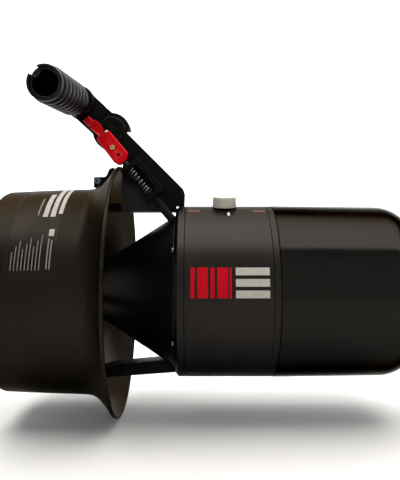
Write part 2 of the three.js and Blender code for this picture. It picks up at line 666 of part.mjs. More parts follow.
function gripArm() {
  const half = PLATE_Y[0] - GAP;
  const relief = 16;
  const hub = new THREE.Shape();
  hub.absarc(DISC.x, DISC.y, HOOD_R, HOOD_STOP, 2 * Math.PI + HOOD_FREE, false);
  hub.absarc(DISC.x, DISC.y, relief - 4.5, 2 * Math.PI + HOOD_FREE, 2 * Math.PI + HOOD_STOP, false);
  const reach = GRIP_ROOT.clone().sub(DISC);
  const angle = reach.angle();
  const near = DISC_R + 1.5;
  const neckHalf = 16;
  const neck = box([near, reach.length()], [-14, 10], [-neckHalf, neckHalf]);
  const webbed = box([DISC_R - 3, near + 1], [-half, half], [-neckHalf, neckHalf]);
  const place = (geometry) => geometry.rotateY(-angle).translate(DISC.x, 0, DISC.y);
  const knuckle = rodAlong(17.4, -10, 15.5, crossPoint(GRIP_ROOT.x, GRIP_ROOT.y), AGAINST_Y, 32);
  const clearOfPlates = rodAlong(DISC_R + 1, half, 20, crossPoint(DISC.x, DISC.y), AGAINST_Y, 32);
  const clearOfFarPlate = rodAlong(DISC_R + 1, half, 20, crossPoint(DISC.x, DISC.y), ALONG_Y, 32);
  const spigot = rodAlong(GRIP_TUBE_R[0] - GAP - 0.4, 10, 48, gripRoot, gripAxis, SMALL);
  return cut(join(slab(hub, -half, half, 0, 24), place(neck), place(webbed), knuckle, spigot),
    clearOfPlates, clearOfFarPlate,
    rodAlong(HINGE_R + RUN, -20, 20, crossPoint(DISC.x, DISC.y), ALONG_Y));
}

// Axes of the grip: X along it towards its open end, Z up, Y towards the hull.
const gripAcross = new THREE.Vector3(0, 0, 1).cross(gripAxis).normalize();
const gripUp = gripAxis.clone().cross(gripAcross);
const toGrip = (geometry) => geometry
  .applyMatrix4(new THREE.Matrix4().makeBasis(gripAxis, gripAcross, gripUp))
  .translate(gripRoot.x, gripRoot.y, gripRoot.z);

const NOTCH_WIDTH = 10;
const NOTCH_DEPTH = 11;
const notchBox = (inner) => toGrip(
  box([GRIP_SPAN[1] - NOTCH_DEPTH, GRIP_SPAN[1] + 2], [-NOTCH_WIDTH / 2, NOTCH_WIDTH / 2], [inner, 30])
    .rotateX(NOTCH_ANGLE),
);

function gripSleeve() {
  const [from, to] = GRIP_SPAN;
  const inner = GRIP_TUBE_R[1] + GAP;
  const ribs = 7;
  const first = from + 5;
  const pitch = (to - 8 - first) / ribs;
  const depth = 2.2;
  const outline = [[from, inner], [from, GRIP_R - 1.6]];
  for (let i = 0; i < ribs; i++) {
    const at = first + i * pitch;
    outline.push([at, GRIP_R - depth], [at + pitch * 0.25, GRIP_R], [at + pitch * 0.75, GRIP_R]);
  }
  outline.push([to - 8, GRIP_R - depth], [to - 6, GRIP_RIM_R + 0.4], [to - 1.2, GRIP_RIM_R]);
  outline.push([to, GRIP_RIM_R - 1], [to, inner]);
  return cut(ringAlong(outline, gripRoot, gripAxis, SMALL), notchBox(0));
}

function gripTube() {
  const [inner, outer] = GRIP_TUBE_R;
  const [from, to] = [GRIP_SPAN[0], GRIP_SPAN[1] - 3];
  return cut(ringAlong([[from, inner], [from, outer], [to, outer], [to, inner]], gripRoot, gripAxis, SMALL),
    notchBox(0));
}

add("grip_arm", gripArm(), powderCoat);
add("grip_tube", gripTube(), anodised);
add("grip_sleeve", gripSleeve(), rubber);

// ---------------------------------------------------------------- bulkhead screws

for (const [i, degrees] of [-32, 32, 148, 212].entries()) {
  const angle = THREE.MathUtils.degToRad(degrees);
  const radius = 88.4;
  const at = new THREE.Vector3(COLLAR_X[0], -radius * Math.cos(angle), radius * Math.sin(angle));
  add(`bulkhead_screw_${i + 1}`, rodAlong(2.4, GAP, 2.6, at, new THREE.Vector3(-1, 0, 0), 12), stainless);
}

export default scooter;
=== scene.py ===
"""Looks of the underwater scooter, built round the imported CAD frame. Blender 4.5.

Lengths in this file are millimetres in the thrust frame: X along the thrust axis towards the nose,
Z up from the axis. Each mesh is turned into metres in the row frame as it is made.
"""

import json
from math import atan2, cos, pi, radians, sin, sqrt, tan

import bmesh
import bpy
from mathutils import Matrix, Vector


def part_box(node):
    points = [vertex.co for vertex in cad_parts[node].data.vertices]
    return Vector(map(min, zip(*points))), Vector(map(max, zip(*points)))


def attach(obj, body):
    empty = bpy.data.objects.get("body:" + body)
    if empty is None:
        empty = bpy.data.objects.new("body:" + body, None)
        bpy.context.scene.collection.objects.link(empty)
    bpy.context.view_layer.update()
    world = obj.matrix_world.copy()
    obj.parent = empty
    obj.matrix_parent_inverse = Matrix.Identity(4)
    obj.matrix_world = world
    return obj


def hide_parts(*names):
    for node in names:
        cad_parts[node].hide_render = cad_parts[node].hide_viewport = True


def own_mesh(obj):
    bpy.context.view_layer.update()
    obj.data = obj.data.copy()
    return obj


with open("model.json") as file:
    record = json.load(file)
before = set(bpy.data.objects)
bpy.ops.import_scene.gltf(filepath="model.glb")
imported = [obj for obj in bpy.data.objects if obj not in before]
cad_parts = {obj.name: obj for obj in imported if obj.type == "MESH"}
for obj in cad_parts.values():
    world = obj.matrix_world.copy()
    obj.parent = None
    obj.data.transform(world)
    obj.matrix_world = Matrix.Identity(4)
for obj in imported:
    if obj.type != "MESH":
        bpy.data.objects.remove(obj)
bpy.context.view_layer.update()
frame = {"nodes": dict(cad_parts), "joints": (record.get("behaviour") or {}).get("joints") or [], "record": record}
MM = 0.001
TINY = 1e-6
AXIS_Z = sum(corner.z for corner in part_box("duct")) / 2
JOINTS = {joint["name"]: joint for joint in frame["joints"]}


def span(node, axis):
    """Lowest and highest value of a CAD node along an axis, in the thrust frame's millimetres."""
    low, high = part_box(node)
    offset = AXIS_Z if axis == 2 else 0.0
    return (low[axis] - offset) / MM, (high[axis] - offset) / MM


def to_thrust(point):
    """A point of the row frame, in metres, in the thrust frame's millimetres."""
    return Vector((point[0], point[1], point[2] - AXIS_Z)) / MM


# ---------- driving values, from the frame

GAP = 0.3  # between pieces that meet
WALL = 5.0  # of the hull

HULL_R = span("hull_tube", 2)[1]
NOSE_R = span("nose_cap", 2)[1]
TUBE_X = span("hull_tube", 0)
NOSE_X = span("nose_cap", 0)
BAND_X = (TUBE_X[1] + GAP, NOSE_X[0] - 2 * GAP)
COLLAR_X = (span("rear_collar", 0)[0], TUBE_X[0] - GAP)
BEHIND_COLLAR = COLLAR_X[0] - GAP
CONE_R = span("tail_cone", 2)[1]
CONE_SLOPE = 0.644  # fall of the cone's radius for each millimetre towards the rear
DUCT_X = span("duct", 0)
LIP_R = span("duct", 2)[1]
PLATE_INNER, PLATE_OUTER = span("bracket_plate_left", 1)
PLATE_FOOT = 88.3  # lower edge of the bracket's plates and of the strut between them
BETWEEN_PLATES = PLATE_INNER - GAP  # half the width of what lies between the plates

PIVOT = to_thrust(JOINTS["grip_fold"]["pos_m"])
DISC_R = (span("pivot_cap", 0)[1] - span("pivot_cap", 0)[0]) / 2
PULL = Vector(JOINTS["trigger_pull"]["axis"]).normalized()  # the way the trigger is pulled
ROD_LINE = -PULL  # from the trigger towards the hull
ROD_Y = sum(span("pull_rod", 1)) / 2
ROD_START = Vector((-106.8, ROD_Y, 157.7))  # the trigger's clamp screw, on the rod's axis

KNOB_AXIS = Vector(JOINTS["speed_knob_turn"]["axis"]).normalized()
KNOB_SEAT = to_thrust(JOINTS["speed_knob_turn"]["pos_m"])
STEM_R = 4.0  # the knob's stem
HINGE_R = 4.0  # the grip's hinge bolt

X_AXIS = Vector((1, 0, 0))
Y_AXIS = Vector((0, 1, 0))
Z_AXIS = Vector((0, 0, 1))
ORIGIN = Vector((0, 0, 0))

# ---------- materials


class Recipe:
    """A node material being put together: one Principled shader and helpers that wire noise into it."""

    def __init__(self, name, color, roughness, metallic=0.0, specular=0.5):
        self.material = bpy.data.materials.new(name)
        self.material.use_nodes = True
        self.tree = self.material.node_tree
        self.shader = self.tree.nodes["Principled BSDF"]
        self.color = (*color, 1.0)
        self.set("Base Color", self.color)
        self.set("Roughness", roughness)
        self.set("Metallic", metallic)
        self.set("Specular IOR Level", specular)

    def set(self, socket, value):
        self.shader.inputs[socket].default_value = value

    def node(self, kind, **values):
        made = self.tree.nodes.new(kind)
        for key, value in values.items():
            if key in made.inputs:
                made.inputs[key].default_value = value
            else:
                setattr(made, key, value)
        return made

    def link(self, output, socket):
        self.tree.links.new(output, socket)

    def noise(self, scale, detail=3.0, stretch=(1, 1, 1)):
        """Noise over the object's own coordinates, in features per metre along each axis."""
        where = self.node("ShaderNodeTexCoord")
        mapping = self.node("ShaderNodeMapping")
        mapping.inputs["Scale"].default_value = [scale * s for s in stretch]
        texture = self.node("ShaderNodeTexNoise", Scale=1.0, Detail=detail)
        self.link(where.outputs["Object"], mapping.inputs["Vector"])
        self.link(mapping.outputs["Vector"], texture.inputs["Vector"])
        return texture.outputs["Fac"]

    def ranged(self, value, low, high, start=0.3, end=0.7):
        """A value between start and end, spread over low to high."""
        mapped = self.node("ShaderNodeMapRange")
        limits = {"From Min": start, "From Max": end, "To Min": low, "To Max": high}
        for socket, limit in limits.items():
            mapped.inputs[socket].default_value = limit
        self.link(value, mapped.inputs["Value"])
        return mapped.outputs["Result"]

    def vary_roughness(self, value, low, high):
        self.link(self.ranged(value, low, high), self.shader.inputs["Roughness"])

    def mix_color(self, factor, other):
        """The base colour so far, mixed towards another one."""
        source = self.shader.inputs["Base Color"]
        mix = self.node("ShaderNodeMix", data_type="RGBA")
        if source.links:
            self.link(source.links[0].from_socket, mix.inputs["A"])
        else:
            mix.inputs["A"].default_value = self.color
        mix.inputs["B"].default_value = (*other, 1.0)
        self.link(factor, mix.inputs["Factor"])
        self.link(mix.outputs["Result"], source)

    def vary_color(self, value, other):
        self.mix_color(self.ranged(value, 0.0, 1.0, 0.35, 0.65), other)

    def worn_edges(self, other, amount=0.5):
        """Edges that stand out are rubbed towards another colour."""
        geometry = self.node("ShaderNodeNewGeometry")
        self.mix_color(self.ranged(geometry.outputs["Pointiness"], 0.0, amount, 0.53, 0.62), other)

    def bump(self, value, depth, strength):
        """Relief of about depth metres."""
        bump = self.node("ShaderNodeBump", Strength=strength, Distance=depth)
        self.link(value, bump.inputs["Height"])
        previous = self.shader.inputs["Normal"]
        if previous.links:
            self.link(previous.links[0].from_socket, bump.inputs["Normal"])
        self.link(bump.outputs["Normal"], previous)


def black_anodised():
    """Satin black anodising: blasted grain under a dark film, a little handled."""
    m = Recipe("black_anodised", (0.0165, 0.0150, 0.0138), 0.33, metallic=1.0)
    m.set("Specular Tint", (0.48, 0.475, 0.47, 1.0))
    m.vary_roughness(m.noise(38, 5), 0.29, 0.39)
    m.vary_color(m.noise(9), (0.0190, 0.0172, 0.0155))
    m.bump(m.noise(5200, 2), 0.00001, 0.25)
    m.worn_edges((0.06, 0.058, 0.054))
    return m.material


def nose_lacquer():
    """Polished black lacquer of the nose, with the faintest orange peel."""
    m = Recipe("nose_lacquer", (0.0120, 0.0112, 0.0100), 0.14, metallic=1.0)
    m.set("Specular Tint", (0.42, 0.415, 0.41, 1.0))
    m.vary_roughness(m.noise(24, 4), 0.11, 0.18)
    m.vary_color(m.noise(7), (0.0135, 0.0125, 0.0112))
    m.bump(m.noise(260, 2), 0.00002, 0.10)
    return m.material


def duct_plastic():
    """Moulded black polyethylene: fine leather-like grain and a brownish tone."""
    m = Recipe("duct_plastic", (0.0125, 0.0108, 0.0088), 0.40, metallic=1.0)
    m.set("Specular Tint", (0.47, 0.455, 0.44, 1.0))
    m.vary_roughness(m.noise(30, 5), 0.34, 0.46)
    m.vary_color(m.noise(14, 4), (0.0150, 0.0128, 0.0104))
    m.bump(m.noise(1700, 4), 0.00005, 0.35)
    m.bump(m.noise(26, 2), 0.0004, 0.10)
    m.worn_edges((0.028, 0.024, 0.020))
    return m.material


def powder_coat():
    """Matte black powder coat with orange peel, rubbed grey along its edges."""
    m = Recipe("powder_coat", (0.0012, 0.0012, 0.0011), 0.46, specular=0.05)
    m.vary_roughness(m.noise(60, 4), 0.40, 0.55)
    m.bump(m.noise(900), 0.00008, 0.45)
    m.worn_edges((0.030, 0.028, 0.025), 0.6)
    return m.material


def grip_moulding():
    """Glass-filled nylon of the grip arm: dull, faintly streaked."""
    m = Recipe("grip_moulding", (0.0012, 0.0011, 0.0010), 0.42, specular=0.06)
    m.vary_roughness(m.noise(80, 4, (1, 1, 0.3)), 0.38, 0.55)
    m.bump(m.noise(1500), 0.00006, 0.4)
    m.worn_edges((0.03, 0.028, 0.026), 0.4)
    return m.material


def grip_rubber():
    """Soft black rubber: matte, with faint dusty patches."""
    m = Recipe("grip_rubber", (0.0018, 0.0016, 0.0014), 0.46, specular=0.12)
    m.vary_roughness(m.noise(90, 4), 0.40, 0.54)
    m.vary_color(m.noise(40, 5), (0.0034, 0.0030, 0.0026))
    m.bump(m.noise(2600), 0.00006, 0.5)
    return m.material


def seal_rubber():
    m = Recipe("seal_rubber", (0.006, 0.006, 0.006), 0.6, specular=0.3)
    m.vary_roughness(m.noise(200), 0.5, 0.7)
    return m.material


def red_anodised():
    """Bright red anodising over bead-blasted aluminium, worn pink at its edges."""
    m = Recipe("red_anodised", (0.46, 0.0010, 0.0050), 0.32, metallic=0.6, specular=0.12)
    m.vary_color(m.noise(60, 4), (0.34, 0.0008, 0.0036))
    m.vary_roughness(m.noise(120, 4), 0.27, 0.42)
    m.bump(m.noise(2400, 2), 0.00003, 0.3)
    m.worn_edges((0.72, 0.09, 0.09), 0.45)
    return m.material


def stainless():
    """Turned stainless steel, finely streaked."""
    m = Recipe("stainless", (0.36, 0.35, 0.34), 0.26, metallic=1.0)
    m.vary_roughness(m.noise(900, 4, (1, 1, 0.08)), 0.18, 0.36)
    m.vary_color(m.noise(60), (0.28, 0.275, 0.27))
    m.bump(m.noise(3000, 2, (1, 1, 0.1)), 0.00001, 0.3)
    return m.material


def blued_steel():
    m = Recipe("blued_steel", (0.060, 0.075, 0.095), 0.34, metallic=0.9)
    m.vary_roughness(m.noise(400, 4), 0.26, 0.45)
    m.vary_color(m.noise(200), (0.085, 0.098, 0.11))
    return m.material


def black_steel():
    """Blackened steel rod, lightly oiled."""
    m = Recipe("black_steel", (0.012, 0.012, 0.012), 0.32, metallic=0.8, specular=0.2)
    m.vary_roughness(m.noise(500, 4, (1, 1, 0.1)), 0.25, 0.42)
    m.vary_color(m.noise(90), (0.020, 0.019, 0.018))
    return m.material


def brass():
    m = Recipe("brass", (0.40, 0.32, 0.15), 0.25, metallic=1.0)
    m.vary_roughness(m.noise(700, 4), 0.18, 0.36)
    m.vary_color(m.noise(200), (0.28, 0.21, 0.09))
    return m.material


def cream_nylon():
    m = Recipe("cream_nylon", (0.58, 0.54, 0.44), 0.42)
    m.vary_color(m.noise(300), (0.46, 0.42, 0.32))
    m.set("Subsurface Weight", 0.3)
    m.set("Subsurface Radius", (0.004, 0.003, 0.002))
    m.set("Subsurface Scale", 0.5)
    return m.material


def knob_resin():
    """Cast translucent resin, slightly milky and warm."""
    m = Recipe("knob_resin", (0.60, 0.58, 0.52), 0.12)
    m.vary_roughness(m.noise(160), 0.08, 0.18)
    m.set("Transmission Weight", 0.55)
    m.set("IOR", 1.47)
    return m.material


def print_ink(name, color):
    """Screen-printed ink: thin, satin, slightly uneven."""
    m = Recipe(name, color, 0.5, specular=0.05)
    m.vary_color(m.noise(500, 4), [c * 0.82 for c in color])
    m.vary_roughness(m.noise(300), 0.42, 0.6)
    return m.material


def label_film():
    m = Recipe("label_film", (0.0135, 0.0118, 0.0098), 0.33, metallic=1.0)
    m.set("Specular Tint", (0.47, 0.455, 0.44, 1.0))
    m.vary_roughness(m.noise(45, 4), 0.30, 0.44)
    m.bump(m.noise(60), 0.0002, 0.06)
    return m.material


def cast_alloy():
    m = Recipe("cast_alloy", (0.20, 0.20, 0.205), 0.45, metallic=0.9)
    m.vary_roughness(m.noise(250, 4), 0.35, 0.6)
    m.bump(m.noise(900), 0.00006, 0.4)
    return m.material


def battery_wrap():
    m = Recipe("battery_wrap", (0.006, 0.022, 0.085), 0.35, specular=0.2)
    m.vary_roughness(m.noise(60, 4), 0.25, 0.45)
    m.bump(m.noise(90), 0.0004, 0.2)
    return m.material


def grey_plastic():
    m = Recipe("grey_plastic", (0.045, 0.048, 0.05), 0.5)
    m.vary_roughness(m.noise(120, 4), 0.42, 0.6)
    m.bump(m.noise(1500), 0.00004, 0.4)
    return m.material


def stage_paint(name, color):
    m = Recipe(name, color, 0.85, specular=0.2)
    m.vary_color(m.noise(3, 2), [c * 0.985 for c in color])
    return m.material


BLACK = black_anodised()
LACQUER = nose_lacquer()
DUCT = duct_plastic()
COAT = powder_coat()
ARM = grip_moulding()
RUBBER = grip_rubber()
SEAL = seal_rubber()
RED = red_anodised()
STEEL = stainless()
BLUED = blued_steel()
BLACK_STEEL = black_steel()
BRASS = brass()
CREAM = cream_nylon()
RESIN = knob_resin()
INK_WHITE = print_ink("ink_white", (0.42, 0.41, 0.39))
INK_GREY = print_ink("ink_grey", (0.34, 0.32, 0.29))
INK_RED = print_ink("ink_red", (0.36, 0.0012, 0.0075))
INK_ORANGE = print_ink("ink_orange", (0.20, 0.055, 0.02))
INK_FINE = print_ink("ink_fine", (0.15, 0.14, 0.125))
FILM_EDGE = print_ink("film_edge", (0.012, 0.011, 0.010))
FILM = label_film()
ALLOY = cast_alloy()
WRAP = battery_wrap()
GREY = grey_plastic()

SLOT_MATERIAL = {
    "anodised_hull": BLACK, "polished_nose": LACQUER, "duct_plastic": DUCT, "black_coat": COAT,
    "pivot_plastic": COAT, "grip_plastic": ARM, "grip_rubber": RUBBER, "seal_rubber": SEAL,
    "red_anodised": RED, "stainless": STEEL, "motor_steel": STEEL, "black_steel": BLACK_STEEL,
    "brass": BRASS, "cream_nylon": CREAM, "clear_plastic": RESIN, "battery_wrap": WRAP,
    "cast_alloy": ALLOY, "grey_plastic": GREY,
}
NODE_SLOT = {part["node"]: part["material_slot"] for part in frame["record"]["subparts"]}
BODIES = frame["record"]["behaviour"]["bodies"]
NODE_BODY = {node: body for body, nodes in BODIES.items() for node in nodes}

for node_name, node_object in frame["nodes"].items():
    node_object.data.materials.clear()
    node_object.data.materials.append(SLOT_MATERIAL[NODE_SLOT[node_name]])

# ---------- mesh helpers


def shade(mesh, sharp):
    """Smooth shading, with edges sharper than an angle in degrees kept crisp."""
    mesh.shade_smooth()
    mesh.set_sharp_from_angle(angle=radians(sharp))


def new_object(name, mesh, material, sharp=32):
    shade(mesh, sharp)
    mesh.materials.append(material)
    made = bpy.data.objects.new(name, mesh)
    bpy.context.scene.collection.objects.link(made)
    return made


def mesh_of(name, vertices, faces):
    """A mesh in metres in the row frame, its faces turned outwards."""
    mesh = bpy.data.meshes.new(name)
    placed = [(v[0] * MM, v[1] * MM, v[2] * MM + AXIS_Z) for v in vertices]
    mesh.from_pydata(placed, [], faces)
    work = bmesh.new()
    work.from_mesh(mesh)
    bmesh.ops.remove_doubles(work, verts=work.verts, dist=1e-7)
    bmesh.ops.recalc_face_normals(work, faces=work.faces)
    work.to_mesh(mesh)
    work.free()
    return mesh


def stand_for(made, node):
    """The piece rides with, and hides, the CAD node that it stands for."""
    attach(made, NODE_BODY[node])
    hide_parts(node)


def detail(made, body, slot):
    """A piece that stands for no CAD node."""
    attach(made, body)


def frame_along(start, direction):
    """A matrix whose X axis runs along the direction from start, with its Z axis as upright as it can be."""
    x = direction.normalized()
    y = Z_AXIS.cross(x)
    y = y.normalized() if y.length > TINY else Y_AXIS
    rotation = Matrix((x, y, x.cross(y))).transposed().to_4x4()
    return Matrix.Translation(start) @ rotation


def arc(middle, radius, start, end, steps):
    """Points on an arc, angles in degrees from the first axis towards the second."""
    angles = [radians(start + (end - start) * k / steps) for k in range(steps + 1)]
    return [(middle[0] + radius * cos(a), middle[1] + radius * sin(a)) for a in angles]


def rounded(points, radius, closed=True, steps=5):
    """A 2-D outline with its corners turned into arcs. radius is one number or one for each corner."""
    count = len(points)
    radii = [radius] * count if isinstance(radius, (int, float)) else radius
    result = []
    for i, corner in enumerate(points):
        here = Vector(corner)
        if not closed and i in (0, count - 1) or radii[i] <= 0:
            result.append(tuple(here))
            continue
        before = Vector(points[i - 1]) - here
        after = Vector(points[(i + 1) % count]) - here
        half = before.angle(after) / 2
        reach = min(radii[i] / tan(half), 0.49 * before.length, 0.49 * after.length)
        first = here + before.normalized() * reach
        last = here + after.normalized() * reach
        for k in range(steps + 1):
            t = k / steps
            blend = first.lerp(here, t).lerp(here.lerp(last, t), t)
            result.append(tuple(blend))
    return result


def smooth_line(points, steps):
    """A Catmull-Rom line through the points."""
    result = []
    last = len(points) - 1
    for i in range(last):
        p0, p1 = Vector(points[max(i - 1, 0)]), Vector(points[i])
        p2, p3 = Vector(points[i + 1]), Vector(points[min(i + 2, last)])
        for k in range(steps):
            t = k / steps
            result.append(tuple(0.5 * (
                2 * p1 + (p2 - p0) * t + (2 * p0 - 5 * p1 + 4 * p2 - p3) * t * t
                + (3 * p1 - p0 - 3 * p2 + p3) * t ** 3
            )))
    result.append(tuple(points[-1]))
    return result


def turned(name, outline, material, start=ORIGIN, direction=X_AXIS, segments=128, sharp=32):
    """A body of revolution of an outline of (along, radius) points.

    An outline that starts on the axis also ends on it, and any other is closed.
    """
    matrix = frame_along(start, direction)
    vertices, rings = [], []
    for along, radius in outline:
        if radius < TINY:
            rings.append([len(vertices)])
            vertices.append(matrix @ Vector((along, 0, 0)))
            continue
        rings.append(list(range(len(vertices), len(vertices) + segments)))
        for k in range(segments):
            angle = 2 * pi * k / segments
            vertices.append(matrix @ Vector((along, radius * cos(angle), radius * sin(angle))))
    faces = []
    following = rings[1:] if len(rings[0]) == 1 else rings[1:] + rings[:1]
    for a, b in zip(rings, following):
        for k in range(segments):
            n = (k + 1) % segments
            if len(a) == 1 and len(b) > 1:
                faces.append((a[0], b[k], b[n]))
            elif len(b) == 1 and len(a) > 1:
                faces.append((a[k], b[0], a[n]))
            elif len(a) > 1:
                faces.append((a[k], b[k], b[n], a[n]))
    return new_object(name, mesh_of(name, vertices, faces), material, sharp)


def bevelled(name, outline, low, high, material, matrix=None, bevel=0.5, segments=3, sharp=40):
    """An outline in X and Z extruded from low to high along Y, its rim edges rounded."""
    work = bmesh.new()
    matrix = matrix or Matrix.Identity(4)
    base = [work.verts.new((x, low, z)) for x, z in outline]
    bottom = work.faces.new(base)
    extruded = bmesh.ops.extrude_face_region(work, geom=[bottom])
    top = [item for item in extruded["geom"] if isinstance(item, bmesh.types.BMVert)]
    bmesh.ops.translate(work, verts=top, vec=(0, high - low, 0))
    bmesh.ops.recalc_face_normals(work, faces=work.faces)
    if bevel > 0:
        caps = [face for face in work.faces if abs(face.normal.y) > 0.99]
        rim = {edge for face in caps for edge in face.edges}
        bmesh.ops.bevel(work, geom=list(rim), offset=bevel, segments=segments, profile=0.5, affect="EDGES",
                        clamp_overlap=True)
    vertices = [matrix @ vertex.co for vertex in work.verts]
    work.verts.index_update()
    faces = [[vertex.index for vertex in face.verts] for face in work.faces]
    work.free()
    return new_object(name, mesh_of(name, vertices, faces), material, sharp)


def combine(made, others, operation="DIFFERENCE", sharp=32):
    """Cuts the others out of a piece, or joins them to it, and deletes them."""
    for other in others:
        modifier = made.modifiers.new("boolean", "BOOLEAN")
        modifier.operation = operation
        modifier.solver = "EXACT"
        modifier.object = other
    graph = bpy.context.evaluated_depsgraph_get()
    mesh = bpy.data.meshes.new_from_object(made.evaluated_get(graph))
    made.modifiers.clear()
    made.data = mesh
    shade(mesh, sharp)
    for other in others:
        bpy.data.objects.remove(other)
    return made


def bar_outline(radius, low, high):
    """Half the section of a plain round bar."""
    return [(low, 0), (low, radius), (high, radius), (high, 0)]


def cutter(radius, low, high, start, direction, segments=48):
    """A plain round bar to cut a hole with."""
    outline = bar_outline(radius, low, high)
    return turned("cutter", outline, STEEL, start, direction, segments)


def socket_screw(name, material, start, direction, head_r, head_h, socket_r, shank_r=0.0, shank=0.0):
    """A cap screw whose head stands back from start and whose shank runs along the direction."""
    floor = -head_h * 0.12  # of the socket
    outline = [(0, 0), (0, head_r), (-head_h, head_r), (-head_h, socket_r), (floor, socket_r * 0.9),
               (floor, 0)]
    radii = [0, 0.15, 0.45, 0.25, 0.1, 0]
    if shank > 0:
        outline = [(shank, 0), (shank, shank_r), (0, shank_r)] + outline[1:]
        radii = [0, 0.2, 0] + radii[1:]
    profile = rounded(outline, radii, closed=False, steps=4)
    return turned(name, profile, material, start, direction, 48)


# ---------- pressure hull

BORE_R = HULL_R - WALL  # inside the hull tube and the nose
EDGE = 0.5  # rounding of the turned parts' edges
SPIGOT_R = BORE_R - 0.4
RIM_IN_R = BORE_R - 8.0  # inside of the spigots' rims
SPIGOT_REACH = 12.5


def hull_tube():
    rear, front = TUBE_X
    tube = rounded([(rear, BORE_R), (rear, HULL_R), (front, HULL_R), (front, BORE_R)], [0, EDGE, EDGE, 0])
    stem_hole = cutter(STEM_R + GAP, -3 * WALL, WALL, KNOB_SEAT, KNOB_AXIS)
    stand_for(combine(turned("hull_tube_shell", tube, BLACK, segments=192), [stem_hole]), "hull_tube")


def rear_collar():
    """The rear bulkhead: a chamfered ring with a spigot that carries an O-ring inside the tube."""
    rear, front = COLLAR_X
    tip = front + SPIGOT_REACH
    bore, chamfer = 44.0, 3.2
    collar = rounded([
        (rear, bore), (rear, HULL_R - chamfer), (rear + chamfer, HULL_R), (front, HULL_R),
        (front, SPIGOT_R), (tip, SPIGOT_R), (tip, RIM_IN_R), (front, RIM_IN_R), (front, bore),
    ], [0.4, 1.2, 1.6, EDGE, 0, EDGE, EDGE, 0, 0.4])
    stand_for(turned("rear_collar_ring", collar, BLACK, segments=192), "rear_collar")


def nose_ring():
    """The band between tube and nose, with a spigot into each and a round opening in its web."""
    rear, front = BAND_X
    back, tip = rear - SPIGOT_REACH, front + SPIGOT_REACH
    opening = 12.0
    band = rounded([
        (rear, opening), (rear, RIM_IN_R), (back, RIM_IN_R), (back, SPIGOT_R), (rear, SPIGOT_R),
        (rear, HULL_R), (front, HULL_R), (front, SPIGOT_R), (tip, SPIGOT_R), (tip, RIM_IN_R),
        (front, RIM_IN_R), (front, opening),
    ], [0, 0, EDGE, EDGE, 0, EDGE, EDGE, 0, EDGE, EDGE, 0, 0])
    stand_for(turned("nose_band_ring", band, BLACK, segments=192), "nose_ring")


def nose_cap():
    corner_r, draft = 40.0, 1.3
    rear, front = NOSE_X
    middle = (front - corner_r, NOSE_R - draft - corner_r)
    outside = arc(middle, corner_r, 0, 90, 24)
    inside = arc(middle, corner_r - WALL, 90, 0, 24)
    rim = rounded([outside[-1], (rear, NOSE_R), (rear, BORE_R), inside[0]], [0, 0.7, 0.3, 0], closed=False)
    nose = [(front, 0)] + outside[:-1] + rim + inside[1:] + [(front - WALL, 0)]
    stand_for(turned("nose_cap_shell", nose, LACQUER, segments=192), "nose_cap")


def bulkhead_screws():
    for i in range(1, 5):
        node = f"bulkhead_screw_{i}"
        low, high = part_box(node)
        middle = to_thrust((low + high) / 2)
        seat = Vector((BEHIND_COLLAR, middle.y, middle.z))
        stand_for(socket_screw(f"{node}_head", BLUED, seat, X_AXIS, 2.4, 2.2, 1.2), node)


def battery_packs():
    """Rows of round cells under shrink wrap, so the sides are scalloped, held by two straps."""
    across = Matrix(((0, 1, 0, 0), (1, 0, 0, 0), (0, 0, 1, 0), (0, 0, 0, 1)))  # outlines in Y and Z
    cell_d, cell_steps = 19.0, 8
    inset, deepest_dip = 0.3, 1.5
    strap_half, strap_corner = 5.0, 1.5
    for node in ("battery_pack_left", "battery_pack_right"):
        (x0, x1), (y0, y1), (z0, z1) = (span(node, axis) for axis in range(3))
        corners = [(y0, z0), (y1, z0), (y1, z1), (y0, z1)]
        outline = []
        for i, corner in enumerate(corners):
            a, b = Vector(corner), Vector(corners[(i + 1) % 4])
            side = (b - a).normalized()
            inwards = Vector((-side.y, side.x))
            steps = cell_steps * max(1, round((b - a).length / cell_d))
            for k in range(1, steps):
                dip = deepest_dip * (1 - abs(sin(pi * k / cell_steps)) ** 0.7)
                outline.append(tuple(a.lerp(b, k / steps) + inwards * (inset + dip)))
        wrap = bevelled(f"{node}_cells", outline, x0, x1, WRAP, across, bevel=0.8)
        stand_for(wrap, node)
        for i, share in enumerate((0.25, 0.75), start=1):
            at = x0 + (x1 - x0) * share
            strap = bevelled(f"{node}_strap_{i}", rounded(corners, strap_corner), at - strap_half,
                             at + strap_half, GREY, across, bevel=0.2)
            detail(strap, "hull", "grey_plastic")


# ---------- tail, propeller and duct


def tail_cone():
    end, base = span("tail_cone", 0)
    hub_r, wall = 28.0, 6.0
    knee = base - (CONE_R - hub_r) / CONE_SLOPE
    seal_r, seal_floor = 14.3, end + 12.3
    shaft_r, web = 9.5, -112.0  # the wall that the shaft passes through
    profile = rounded([
        (base, CONE_R - wall), (base, CONE_R), (knee, hub_r), (end, hub_r), (end, seal_r),
        (seal_floor, seal_r), (seal_floor, shaft_r), (web, shaft_r),
        (web, CONE_R - (base - web) * CONE_SLOPE - wall),
    ], [0, 0.8, 18, 1.2, 0.4, 0, 0, 0, 0], steps=8)
    stand_for(turned("tail_cone_shell", profile, BLACK, segments=160), "tail_cone")


